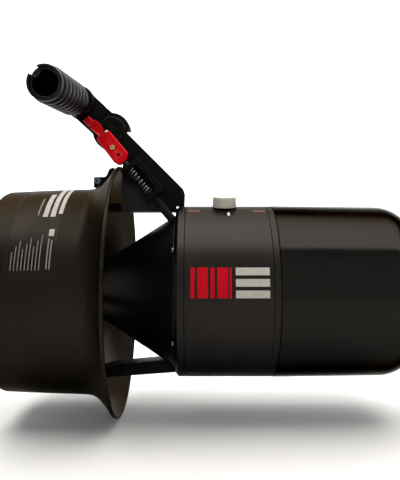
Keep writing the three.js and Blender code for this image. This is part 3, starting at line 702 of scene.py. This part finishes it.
def blade(turn):
    """One blade as a loft: sections from root to tip on a constant helix, turned about the axis."""
    sections, across = 26, 14
    root_r, tip_r = 22.0, 96.0
    root_thick, tip_thick, widest = 7.0, 1.8, 46.0
    pitch_per_turn, middle_x = 150.0, -170.0
    vertices, faces = [], []
    for i in range(sections + 1):
        t = i / sections
        radius = root_r + (tip_r - root_r) * sin(t * pi / 2) ** 0.9
        share = (radius - root_r) / (tip_r - root_r)
        pitch = atan2(pitch_per_turn, 2 * pi * radius)
        fullness = sin(pi * (0.18 + 0.72 * share)) * max(0.0, 1 - share ** 8)
        chord = widest * sqrt(fullness) + 1.0
        thick = root_thick + (tip_thick - root_thick) * share
        loop = [(k / across - 0.5, 1) for k in range(across + 1)]
        loop += [(k / across - 0.5, -1) for k in range(across - 1, 0, -1)]
        for u, side in loop:
            shape = sqrt(max(0.0, 1 - 4 * u * u)) * (1 - 0.35 * u)
            along, off = u * chord, side * thick * shape / 2
            x = middle_x + along * sin(pitch) + off * cos(pitch)
            around = (along * cos(pitch) - off * sin(pitch)) / radius
            vertices.append((x, radius * sin(around + turn), radius * cos(around + turn)))
    size = 2 * across
    for i in range(sections):
        for k in range(size):
            a, b = i * size + k, i * size + (k + 1) % size
            faces.append((a, b, b + size, a + size))
    faces.append(list(range(size)))
    faces.append([sections * size + k for k in reversed(range(size))])
    return new_object("blade", mesh_of("blade", vertices, faces), DUCT)


def propeller():
    rear, front = span("propeller", 0)
    bore, count = 8.3, 3
    hub = turned("propeller_blades", rounded([
        (rear, bore), (rear, 24.0), (rear + 12, 27.0), (front, 28.0), (front, bore),
    ], [0.3, 2.0, 6.0, 1.0, 0.3]), DUCT, segments=96)
    blades = [blade(2 * pi * k / count) for k in range(count)]
    stand_for(combine(hub, blades, "UNION", 40), "propeller")

    rear, front = span("propeller_nut", 0)
    thread_r, thread_end = 6.3, -205.0
    dome = [(rear, 0), (rear + 1.2, 6.2), (rear + 5, 12.4), (rear + 13, 19.4), (front, 23.6)]
    profile = smooth_line(dome, 8) + [(front, thread_r), (thread_end, thread_r), (thread_end, 0)]
    stand_for(turned("propeller_spinner", profile, DUCT, segments=96), "propeller_nut")


# The duct's outside from its rear rim to its lip, and its inside back again.
DUCT_OUTSIDE = smooth_line([
    (-219, 110.8), (-190, 112.0), (-160, 113.1), (-136, 113.9), (-127, 115.0), (-119.4, 118.6),
    (-111.9, 125.5), (-105.9, 132.4), (-102.6, 137.2),
], 8)
DUCT_INSIDE = smooth_line([
    (-101.0, 133.6), (-107.4, 124.6), (-115.6, 115.2), (-126, 107.8), (-140, 103.0), (-160, 101.3),
    (-185, 102.0), (-205, 104.0), (-220, 106.4),
], 8)


def duct():
    lip = rounded([DUCT_OUTSIDE[-1], (-101.6, LIP_R), (-98.7, LIP_R), (-97.9, 137.2), DUCT_INSIDE[0]],
                  [0, 1.6, 1.2, 1.0, 0], closed=False)
    rear = DUCT_X[0]
    rim = rounded([DUCT_INSIDE[-1], (rear, 107.2), (rear, 109.4), DUCT_OUTSIDE[0]], [0, 1.0, 1.4, 0],
                  closed=False)
    profile = DUCT_OUTSIDE[:-1] + lip[:-1] + DUCT_INSIDE[:-1] + rim[:-1]
    stand_for(turned("duct_shell", profile, DUCT, segments=224, sharp=50), "duct")


def struts():
    front, back = BEHIND_COLLAR, -146.0
    bottom = [(front, -90), (-112, -95.4), (-128, -99.8), (back, -99.8), (back, -94.8), (-122, -85.8),
              (-104, -81.6), (front - 14, -76.8), (front, -85.7)]
    outline = rounded(bottom, [1, 12, 12, 2, 4, 12, 16, 10, 0.5])
    stand_for(bevelled("bottom_strut_bar", outline, -13, 13, COAT, bevel=1.6, segments=4), "bottom_strut")
    top = [(front, 94), (-112, 98.6), (-128, 100.2), (back, 100.2), (back, 93.8), (-104, PLATE_FOOT),
           (front, PLATE_FOOT)]
    outline = rounded(top, [1, 12, 12, 2, 4, 16, 0.5])
    stand_for(bevelled("top_strut_bar", outline, -8, 8, COAT, bevel=0.8), "top_strut")


# ---------- handle bracket

PLATE_TOP_R = 15.5  # the plates' round top, about the pivot
PLATE_CORNER = (-30.1, 113.8)  # where their slope ends


def side_plate_outline():
    disc = (PIVOT.x, PIVOT.z)
    straight = rounded([
        (-97.4, 144), (-97.4, 131), (-98.8, 119), (-98.8, PLATE_FOOT), (-38.3, PLATE_FOOT), (-38.3, 95.5),
        (-29, 95.5), (-28.4, 109.3), PLATE_CORNER, (disc[0] + PLATE_TOP_R, disc[1]),
    ], [3, 3, 2, 1.5, 0.5, 0.5, 0.8, 3, 3, 0], closed=False)
    return straight[:-1] + arc(disc, PLATE_TOP_R, 0, 218, 40)


def bracket():
    for side, low, high in (("right", -PLATE_OUTER, -PLATE_INNER), ("left", PLATE_INNER, PLATE_OUTER)):
        node = f"bracket_plate_{side}"
        stand_for(bevelled(f"{node}_sheet", side_plate_outline(), low, high, COAT, bevel=0.7), node)
    top, bottom = Vector((PIVOT.x + PLATE_TOP_R, PIVOT.z)), Vector(PLATE_CORNER)
    down = (bottom - top).normalized()
    start = top + down * 9.6  # clear of the grip's hood
    inwards = Vector((down.y, -down.x)) * 3.5
    outline = [tuple(p) for p in (start, bottom, bottom + inwards, start + inwards)]
    cover = bevelled("bracket_cover_sheet", rounded(outline, 0.6), -BETWEEN_PLATES, BETWEEN_PLATES, COAT,
                     bevel=0.3)
    stand_for(cover, "bracket_cover")


def pivot_cap():
    near, far = PLATE_OUTER + GAP, -span("pivot_cap", 1)[0]
    cap = rounded([
        (near, 0), (near, DISC_R), (far - 0.7, DISC_R), (far - 0.2, DISC_R - 1.6),
        (far - 1.0, DISC_R - 3.0), (far - 0.9, 4.5), (far - 0.3, 3.6), (far - 0.3, 0),
    ], [0, 0.3, 0.6, 0.5, 0.5, 0.4, 0.4, 0], closed=False, steps=4)
    seat = Vector((PIVOT.x, 0, PIVOT.z))
    stand_for(turned("pivot_cap_disc", cap, COAT, seat, -Y_AXIS, 96), "pivot_cap")


def bracket_bolts():
    """The hinge bolt and the two bolts at the bracket's foot, their heads on the far side."""
    hinge, foot = (7.0, 6.2, 3.2, HINGE_R), (4.2, 3.9, 2.0, 2.5)
    length = 23.5
    places = {"hinge_bolt": (PIVOT.x, PIVOT.z, hinge), "bracket_bolt_1": (-56, 92.5, foot),
              "bracket_bolt_2": (-88, 93, foot)}
    for node, (x, z, sizes) in places.items():
        head = Vector((x, PLATE_OUTER + GAP, z))
        stand_for(socket_screw(f"{node}_screw", STEEL, head, -Y_AXIS, *sizes, length), node)


def lip_clamp():
    outline = [(-130, 115.6), (-130, 127.5), (-116.6, 127.5), (-112.4, 136.8), (-107, 138.2),
               (-107.9, 131.2), (-114.8, 124.2), (-122, 118)]
    shape = rounded(outline, [0.6, 2.0, 4.0, 2.0, 1.2, 2.0, 3.0, 3.0])
    half = 10.0
    stand_for(bevelled("lip_clamp_block", shape, -half, half, COAT, bevel=0.9), "lip_clamp")
    head = Vector((-125, -half - GAP, 122.5))
    bolt = socket_screw("lip_clamp_bolt_screw", BLUED, head, Y_AXIS, 3.5, 3.6, 1.8, 2.5, 18)
    stand_for(bolt, "lip_clamp_bolt")


# ---------- trigger, rod and spring

ROD_FRAME = frame_along(ROD_START, ROD_LINE)
# The rod frame without its Y offset, for outlines extruded along Y.
ROD_SIDE = Matrix.Translation(Vector((0, -ROD_Y, 0))) @ ROD_FRAME
TRIGGER_Y = span("trigger_lever", 1)
ROD_R = 3.0
ROD_END = 86.0
SPRING_START, SPRING_END = 30.3, 61.0
GUIDE_START, GUIDE_END = 25.0, 70.0
BUFFER_UP = 5.9  # the buffer's axis above the rod's


def rod_point(distance, up=0.0):
    return ROD_FRAME @ Vector((distance, 0, up))


def trigger_lever():
    body = rounded([(-17.5, -7.5), (13, -9), (19, -6.4), (20, 3.1), (15, 9.3), (-17.7, 9), (-17.7, 1.5),
                    (-20, -6)], [2.5, 3, 2, 2.5, 2.5, 2, 1.2, 1.5])
    neck = rounded([(-12, -3.4), (-12, 3.2), (-21.4, 3.2), (-22.6, 5.6), (-32, 6.4), (-36.2, 4.4),
                    (-39, 2.0), (-39, -5.2), (-34.6, -5.4), (-28, -4.3), (-17, -3.4)],
                   [0.5, 0.5, 1.5, 1.5, 3, 2, 0.5, 0.5, 2, 5, 1])
    tab = rounded([(-34.6, 2.2), (-43.4, 2.2), (-43.8, -5.6), (-34.6, -5.6)], [2.5, 1.4, 1.4, 2.5])
    near, inner = TRIGGER_Y[0], -18.0
    lever = bevelled("trigger_lever_body", body, *TRIGGER_Y, RED, ROD_SIDE, bevel=1.2, segments=4)
    # The neck is thinner than the finger tab at its end.
    arm = bevelled("trigger_neck", neck, near + 1.6, inner, RED, ROD_SIDE, bevel=0.9, segments=4)
    pad = bevelled("trigger_tab", tab, near, inner, RED, ROD_SIDE, bevel=1.3, segments=4)
    combine(lever, [arm, pad], "UNION")
    # Bores for the rod, the clamp screw, a second screw and the buffer.
    combine(lever, [
        cutter(ROD_R + GAP, -5.5, 30, ROD_START, ROD_LINE),
        cutter(3.0, 3.1, 8, ROD_START, -Y_AXIS),
        cutter(1.9, 2, 8, rod_point(9.7), -Y_AXIS),
        cutter(2.5, -20, -11, rod_point(0, BUFFER_UP), ROD_LINE),
    ])
    stand_for(lever, "trigger_lever")


def trigger_fittings():
    """The brass clamp screw and the cream buffer at the lever's upper end."""
    head = Vector((ROD_START.x, TRIGGER_Y[0] - 0.1, ROD_START.z))
    screw = socket_screw("trigger_clamp_screw_head", BRASS, head, Y_AXIS, 2.7, 2.0, 1.2, 1.6, 1.2)
    stand_for(screw, "trigger_clamp_screw")
    foot = -11.4
    dome = smooth_line([(-20.6, 0), (-20.3, 1.1), (-19.4, 2.0), (-18.2, 2.2), (foot, 2.2)], 5)
    buffer = turned("trigger_buffer_pin", dome + [(foot, 0)], CREAM, rod_point(0, BUFFER_UP), ROD_LINE, 48)
    stand_for(buffer, "trigger_buffer")


def pull_rod():
    """The rod with the collar that the spring pushes on."""
    start, seat, seat_r = -5.0, SPRING_END + GAP, 5.8
    seat_end = seat + 2.5
    outline = rounded([
        (start, 0), (start, ROD_R), (seat, ROD_R), (seat, seat_r), (seat_end, seat_r), (seat_end, ROD_R),
        (ROD_END, ROD_R), (ROD_END, 0),
    ], [0, 0.4, 0, 0.5, 0.5, 0, 0.8, 0], closed=False)
    bar = turned("pull_rod_bar", outline, BLACK_STEEL, ROD_START, ROD_LINE, 64)
    stand_for(bar, "pull_rod")


def rod_guide():
    """A C-shaped frame round the spring, open downwards."""
    low, high = GUIDE_START, GUIDE_END
    end_wall, lower, upper = 5.0, -10.0, 15.0
    back = upper - 7.0
    outline = rounded([
        (low, lower), (low, upper), (high, upper), (high, lower), (high - end_wall, lower),
        (high - end_wall, back), (low + end_wall, back), (low + end_wall, lower),
    ], [1, 1.6, 1.6, 1, 0.6, 1.2, 1.2, 0.6])
    guide = bevelled("rod_guide_frame", outline, *span("rod_guide", 1), COAT, ROD_SIDE, bevel=0.8)
    combine(guide, [cutter(ROD_R + GAP, low - 2, high + 2, ROD_START, ROD_LINE)])
    stand_for(guide, "rod_guide")


def trigger_spring():
    """A compression spring round the rod, squashed when the trigger is pulled."""
    coils, coil_r, wire_r = 8, 4.9, 0.45
    turn_steps, sides = 28, 10
    length = SPRING_END - SPRING_START
    total = coils * turn_steps
    vertices, faces = [], []
    for i in range(total + 1):
        t = i / total
        turn = 2 * pi * coils * t
        # The end coils lie closer together, as a ground spring's do.
        eased = t - 0.045 * sin(2 * pi * t)
        along = SPRING_START + wire_r + (length - 2 * wire_r) * eased
        for k in range(sides):
            a = 2 * pi * k / sides
            radial = coil_r + wire_r * cos(a)
            vertices.append(ROD_FRAME @ Vector((
                along + wire_r * sin(a), radial * cos(turn), radial * sin(turn),
            )))
        if i:
            a, b = (i - 1) * sides, i * sides
            for k in range(sides):
                n = (k + 1) % sides
                faces.append((a + k, a + n, b + n, b + k))
    faces.append(list(range(sides)))
    faces.append([total * sides + k for k in reversed(range(sides))])
    spring = new_object("trigger_spring_coil", mesh_of("trigger_spring_coil", vertices, faces), STEEL, 60)
    stand_for(spring, "trigger_spring")
    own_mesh(spring)


def switch_fitting():
    """A closed tube with one shallow groove, ending on the tail cone beside the bulkhead."""
    radius, start, end = 4.6, GUIDE_END + GAP, 112.0
    groove, groove_end, groove_r = start + 2.4, start + 3.4, radius - 0.5
    outline = rounded([
        (start, 0), (start, radius), (groove, radius), (groove, groove_r), (groove_end, groove_r),
        (groove_end, radius), (end, radius), (end, 0),
    ], [0, 0.5, 0.2, 0.1, 0.1, 0.2, 0, 0], closed=False)
    tube = turned("switch_fitting_tube", outline, COAT, ROD_START, ROD_LINE, 64)
    front, back = BEHIND_COLLAR + 2, -80.0
    cone = [(front, 0), (front, CONE_R + GAP + 2 * CONE_SLOPE),
            (back, CONE_R + GAP - (BEHIND_COLLAR - back) * CONE_SLOPE), (back, 0)]
    near, far = BEHIND_COLLAR, BEHIND_COLLAR + 20
    bulkhead = [(near, 60), (far, 60), (far, 100), (near, 100)]
    combine(tube, [
        turned("cutter", cone, STEEL),
        bevelled("cutter", bulkhead, ROD_Y - 10, ROD_Y + 10, STEEL, bevel=0),
        cutter(ROD_R + GAP, start - 2, ROD_END + 4, ROD_START, ROD_LINE),
    ])
    stand_for(tube, "switch_fitting")


# ---------- folding grip

GRIP_ROOT = Vector((-146.4, 0, 211.6))
GRIP_END = Vector((-155, -122, 201.7))
GRIP_LINE = (GRIP_END - GRIP_ROOT).normalized()
GRIP_FROM, GRIP_TO = 28.5, 122.5
GRIP_R, RIM_R = 18.4, 17.0
PIPE_IN_R, PIPE_R = 12.5, 14.2


def grip_arm():
    disc = (PIVOT.x, PIVOT.z)
    seat = Vector((PIVOT.x, 0, PIVOT.z))
    hood_r, relief_r = 21.0, 11.5
    outline = arc(disc, hood_r, 5, 285, 60) + arc(disc, relief_r, 285, 365, 16)
    hub = bevelled("grip_arm_body", outline, -BETWEEN_PLATES, BETWEEN_PLATES, ARM, bevel=0.8)
    reach = GRIP_ROOT - seat
    along = frame_along(seat, reach)
    near, far, wide = DISC_R + 2.0, reach.length, 16.0
    neck_shape = rounded([(near, -wide), (far, -wide), (far, wide), (near, wide)], [7, 0.5, 0.5, 7])
    neck = bevelled("neck", neck_shape, -14, 10, ARM, along, bevel=4.0, segments=6)
    web_shape = [(DISC_R - 3, -wide), (near + 4, -wide), (near + 4, wide), (DISC_R - 3, wide)]
    web = bevelled("web", web_shape, -BETWEEN_PLATES, BETWEEN_PLATES, ARM, along, bevel=0.8)
    knuckle_shape = rounded(bar_outline(17.4, -10, 15.5), [0, 4, 3, 0], closed=False)
    knuckle = turned("knuckle", knuckle_shape, ARM, GRIP_ROOT, -Y_AXIS, 96)
    spigot = turned("spigot", bar_outline(11.8, 8, 48), ARM, GRIP_ROOT, GRIP_LINE, 64)
    combine(hub, [neck, web, knuckle, spigot], "UNION", 40)
    room = DISC_R + 1.2
    combine(hub, [
        cutter(room, BETWEEN_PLATES, 20, seat, -Y_AXIS, 96),
        cutter(room, BETWEEN_PLATES, 20, seat, Y_AXIS, 96),
        cutter(HINGE_R + GAP, -20, 20, seat, Y_AXIS),
    ], sharp=40)
    stand_for(hub, "grip_arm")


def notch_cutter():
    """The round-bottomed notch in the grip's open end, up and away from the hull."""
    half, bottom, beyond, turn = 5.0, GRIP_TO - 11.0, GRIP_TO + 3, 132
    shape = rounded([(bottom, -half), (beyond, -half), (beyond, half), (bottom, half)], [half, 0, 0, half],
                    steps=8)
    place = frame_along(GRIP_ROOT, GRIP_LINE) @ Matrix.Rotation(radians(turn), 4, "X")
    return bevelled("notch", shape, 0, 30, RUBBER, place, bevel=0)


def grip_tube():
    end = GRIP_TO - 3
    tube = rounded([(GRIP_FROM, PIPE_IN_R), (GRIP_FROM, PIPE_R), (end, PIPE_R), (end, PIPE_IN_R)],
                   [0.3, 0.3, 0.5, 0.5])
    pipe = turned("grip_tube_pipe", tube, BLACK, GRIP_ROOT, GRIP_LINE, 96)
    stand_for(combine(pipe, [notch_cutter()]), "grip_tube")


def grip_sleeve():
    ribs, steps, groove = 7, 20, 2.6
    first, last = GRIP_FROM + 5, GRIP_TO - 8
    pitch = (last - first) / ribs
    bore = PIPE_R + GAP
    outline = [(GRIP_FROM, bore), (GRIP_FROM, GRIP_R - 2.6), (GRIP_FROM + 1.2, GRIP_R - 1.4)]
    for i in range(ribs * steps):
        # Round-backed ribs that meet in narrow grooves.
        swell = abs(sin(pi * (i % steps) / steps)) ** 0.55
        outline.append((first + i / steps * pitch, GRIP_R - groove * (1 - swell)))
    outline += [(last, GRIP_R - groove), (last + 0.8, RIM_R - 0.6), (last + 2, RIM_R)]
    outline += rounded([(last + 3, RIM_R), (GRIP_TO, RIM_R), (GRIP_TO, bore)], [0, 1.8, 0.6], closed=False)
    sleeve = turned("grip_sleeve_rubber", outline, RUBBER, GRIP_ROOT, GRIP_LINE, 128, sharp=50)
    stand_for(combine(sleeve, [notch_cutter()], sharp=50), "grip_sleeve")


# ---------- speed knob


def knob():
    """A translucent cap over a cream insert, on a steel stem."""
    radius, wall, seal_r = 13.5, 1.7, 8.3
    low, high = 0.7, 12.5
    core_r, core_top = radius - wall, high - wall
    room_r, room_top = core_r + 0.1, core_top + 0.1
    shell = rounded([(low, room_r), (low, radius), (high, radius - 0.3), (high, 0), (room_top, 0),
                     (room_top, room_r)], [0.2, 0.4, 1.5, 0, 0, 0.8], closed=False)
    cap = turned("speed_knob_cap", shell, RESIN, KNOB_SEAT, KNOB_AXIS)
    stand_for(cap, "speed_knob")
    core = rounded(bar_outline(core_r, low, core_top), [0, 0.4, 0.8, 0], closed=False)
    insert = turned("speed_knob_core", core, CREAM, KNOB_SEAT, KNOB_AXIS, 96)
    combine(insert, [
        cutter(STEM_R + GAP, 0, 7, KNOB_SEAT, KNOB_AXIS),
        cutter(seal_r, 0, 2.6, KNOB_SEAT, KNOB_AXIS),
    ])
    detail(insert, "knob", "clear_plastic")
    pin = rounded(bar_outline(STEM_R, -6, 6.6), [0, 0.3, 0.3, 0], closed=False)
    stand_for(turned("knob_stem_pin", pin, STEEL, KNOB_SEAT, KNOB_AXIS, 48), "knob_stem")


# ---------- printed marks


def hull_radius(_x):
    """Outside radius of the hull tube, the same all along it."""
    return HULL_R


def duct_radius(x):
    """Outside radius of the duct."""
    for (x0, r0), (x1, r1) in zip(DUCT_OUTSIDE, DUCT_OUTSIDE[1:]):
        if x0 <= x <= x1:
            return r0 + (r1 - r0) * (x - x0) / (x1 - x0)
    return DUCT_OUTSIDE[0][1]


def wrapped_patch(name, limits, radius, material, lift=0.12, steps=(10, 10)):
    """A thin printed patch lifted off a round surface, whose radius is a function of x.

    limits are its ends along x, then its lower and upper edge in degrees above the side.
    """
    x0, x1, start, end = limits
    columns, rows = steps
    thickness = 0.1
    vertices, faces = [], []
    for layer in (lift, lift - thickness):
        for j in range(rows + 1):
            for i in range(columns + 1):
                x = x0 + (x1 - x0) * i / columns
                a = radians(start + (end - start) * j / rows)
                r = radius(x) + layer
                vertices.append((x, -r * cos(a), r * sin(a)))
    row = columns + 1
    size = row * (rows + 1)
    for j in range(rows):
        for i in range(columns):
            a = j * row + i
            faces.append((a, a + 1, a + row + 1, a + row))
            faces.append((size + a, size + a + row, size + a + row + 1, size + a + 1))
    rim = list(range(row)) + [j * row + columns for j in range(1, rows + 1)]
    rim += [rows * row + i for i in reversed(range(columns))] + [j * row for j in reversed(range(1, rows))]
    for a, b in zip(rim, rim[1:] + rim[:1]):
        faces.append((a, size + a, size + b, b))
    return new_object(name, mesh_of(name, vertices, faces), material)


def hull_mark(name, limits, material, steps=(10, 10)):
    mark = wrapped_patch(name, limits, hull_radius, material, steps=steps)
    detail(mark, "hull", "anodised_hull")


def hull_graphic():
    """A plain mark on the hull's side: a block of red hoops and three level grey stripes ahead of it."""
    low, high = 0.5, 18.5
    hoops = [(-21, -17), (-14.5, -4), (-1.5, 2.5), (5, 15.5), (17, 19)]
    for i, (x0, x1) in enumerate(hoops, start=1):
        hull_mark(f"hull_mark_red_{i}", (x0, x1, low, high), INK_RED)
    stripes = [(low, 5.0), (7.2, 11.7), (13.9, high)]
    for i, (start, end) in enumerate(stripes, start=1):
        hull_mark(f"hull_mark_grey_{i}", (23, 56, start, end), INK_GREY)


def knob_marks():
    """A white pointer by the knob and small scale ticks on either side of it."""
    hull_mark("knob_pointer_mark", (17.5, 20.0, 60.5, 65.0), INK_WHITE)
    ticks, pitch, width = 5, 2.6, 1.1
    for side, start in (("low", -24), ("high", 46)):
        for i in range(ticks):
            x = start + i * pitch
            hull_mark(f"knob_scale_{side}_{i + 1}", (x, x + width, 66, 69.5), INK_ORANGE, (2, 4))


def duct_mark(name, limits, material, lift, steps):
    mark = wrapped_patch(f"duct_label_{name}", limits, duct_radius, material, lift, steps)
    detail(mark, "hull", "duct_plastic")


def duct_label():
    """A dark film panel round the duct's upper right side, with plain bars for its print."""
    x0, x1, low, high = -196.0, -148.0, 11.0, 96.0
    on_film = 0.26  # lift of what is printed on the film
    duct_mark("film", (x0, x1, low, high), FILM, 0.16, (12, 48))
    lines = [(x0, x1, low, low + 0.4), (x1 - 0.5, x1, low, high), (x0, x0 + 0.5, low, high)]
    for i, limits in enumerate(lines, start=1):
        duct_mark(f"edge_{i}", limits, FILM_EDGE, on_film, (6, 40))
    large = [(-152.5, -148.3, 47, 90), (-160.0, -155.0, 45, 80), (-167.5, -162.5, 45, 68)]
    small = [(-173.2, -171.8, 46, 62), (-157.5, -152.5, 32.5, 36.5), (-157.2, -155.9, 15, 31),
             (-154.2, -152.9, 15, 30)]
    fine = []
    for i in range(9):
        x = -163.0 - i * 3.4
        fine.append((x - 0.8, x, 14.5, 33.0 - 2.6 * (i % 3) - 0.5 * i))
    for i, limits in enumerate(large + small + fine, start=1):
        start_x, end_x, start, end = limits
        rows = max(3, round((end - start) / 2))
        ink = INK_GREY if end_x - start_x > 2 else INK_FINE
        duct_mark(f"bar_{i}", limits, ink, on_film, (1, rows))


# ---------- stage, light and camera


def stage():
    """A pale floor that curves up into a backdrop, all round."""
    floor_r, wall_r, height = 1.6, 2.4, 3.2
    bend_r, segments = wall_r - floor_r, 96
    outline = arc((floor_r, bend_r), bend_r, -90, 0, 16) + [(wall_r, height)]
    vertices, faces = [(0, 0, 0)], []
    for r, z in outline:
        for k in range(segments):
            a = 2 * pi * k / segments
            vertices.append((r * cos(a), r * sin(a), z))
    for k in range(segments):
        n = (k + 1) % segments
        faces.append((0, 1 + k, 1 + n))
        for j in range(len(outline) - 1):
            a = 1 + j * segments
            faces.append((a + k, a + segments + k, a + segments + n, a + n))
    mesh = bpy.data.meshes.new("pale_floor")
    mesh.from_pydata(vertices, [], faces)
    floor = new_object("pale_floor", mesh, stage_paint("stage_paper", (0.56, 0.56, 0.56)), 60)


def soft_light(name, location, target, size, power, color=(1, 1, 1)):
    """A rectangular area light turned towards a target, in metres and watts."""
    data = bpy.data.lights.new(name, "AREA")
    data.shape = "RECTANGLE"
    data.size, data.size_y = size
    data.energy = power
    data.color = color
    light = bpy.data.objects.new(name, data)
    light.location = location
    light.rotation_euler = (Vector(target) - Vector(location)).to_track_quat("-Z", "Y").to_euler()
    bpy.context.scene.collection.objects.link(light)


def lights():
    """A broad ceiling, a lamp up behind the camera, and two on the backdrop."""
    warm = (1.0, 0.970, 0.935)
    soft_light("ceiling", (0.0, 0.40, 1.75), (0.0, 0.40, 0.0), (2.6, 2.7), 105, warm)
    soft_light("front_wall", (0.0, -1.0, 1.9), (0.0, -2.4, 1.9), (2.2, 0.6), 22, warm)
    for name, side in (("backdrop_left", -1), ("backdrop_right", 1)):
        soft_light(name, (side, 0.9, 1.5), (0.7 * side, 2.3, 0.5), (0.9, 0.9), 26)
    world = bpy.data.worlds.new("studio")
    world.use_nodes = True
    background = world.node_tree.nodes["Background"]
    background.inputs["Color"].default_value = (1.0, 1.0, 1.0, 1.0)
    background.inputs["Strength"].default_value = 0.7
    bpy.context.scene.world = world


def camera():
    """Level, square to the thrust axis and a little above it."""
    ahead, distance, above = -14.5, 630, 57
    data = bpy.data.cameras.new("camera")
    data.sensor_width = 36.0
    data.lens = 41.625
    data.shift_x = 0.006
    made = bpy.data.objects.new("camera", data)
    made.location = (ahead * MM, -distance * MM, AXIS_Z + above * MM)
    made.rotation_euler = (pi / 2, 0, 0)
    bpy.context.scene.collection.objects.link(made)
    bpy.context.scene.camera = made
    bpy.context.scene.view_settings.view_transform = "Standard"


camera()
stage()
lights()
hull_tube()
rear_collar()
nose_ring()
nose_cap()
bulkhead_screws()
battery_packs()
tail_cone()
propeller()
duct()
struts()
bracket()
pivot_cap()
bracket_bolts()
lip_clamp()
trigger_lever()
trigger_fittings()
pull_rod()
rod_guide()
trigger_spring()
switch_fitting()
grip_arm()
grip_tube()
grip_sleeve()
knob()
hull_graphic()
knob_marks()
duct_label()
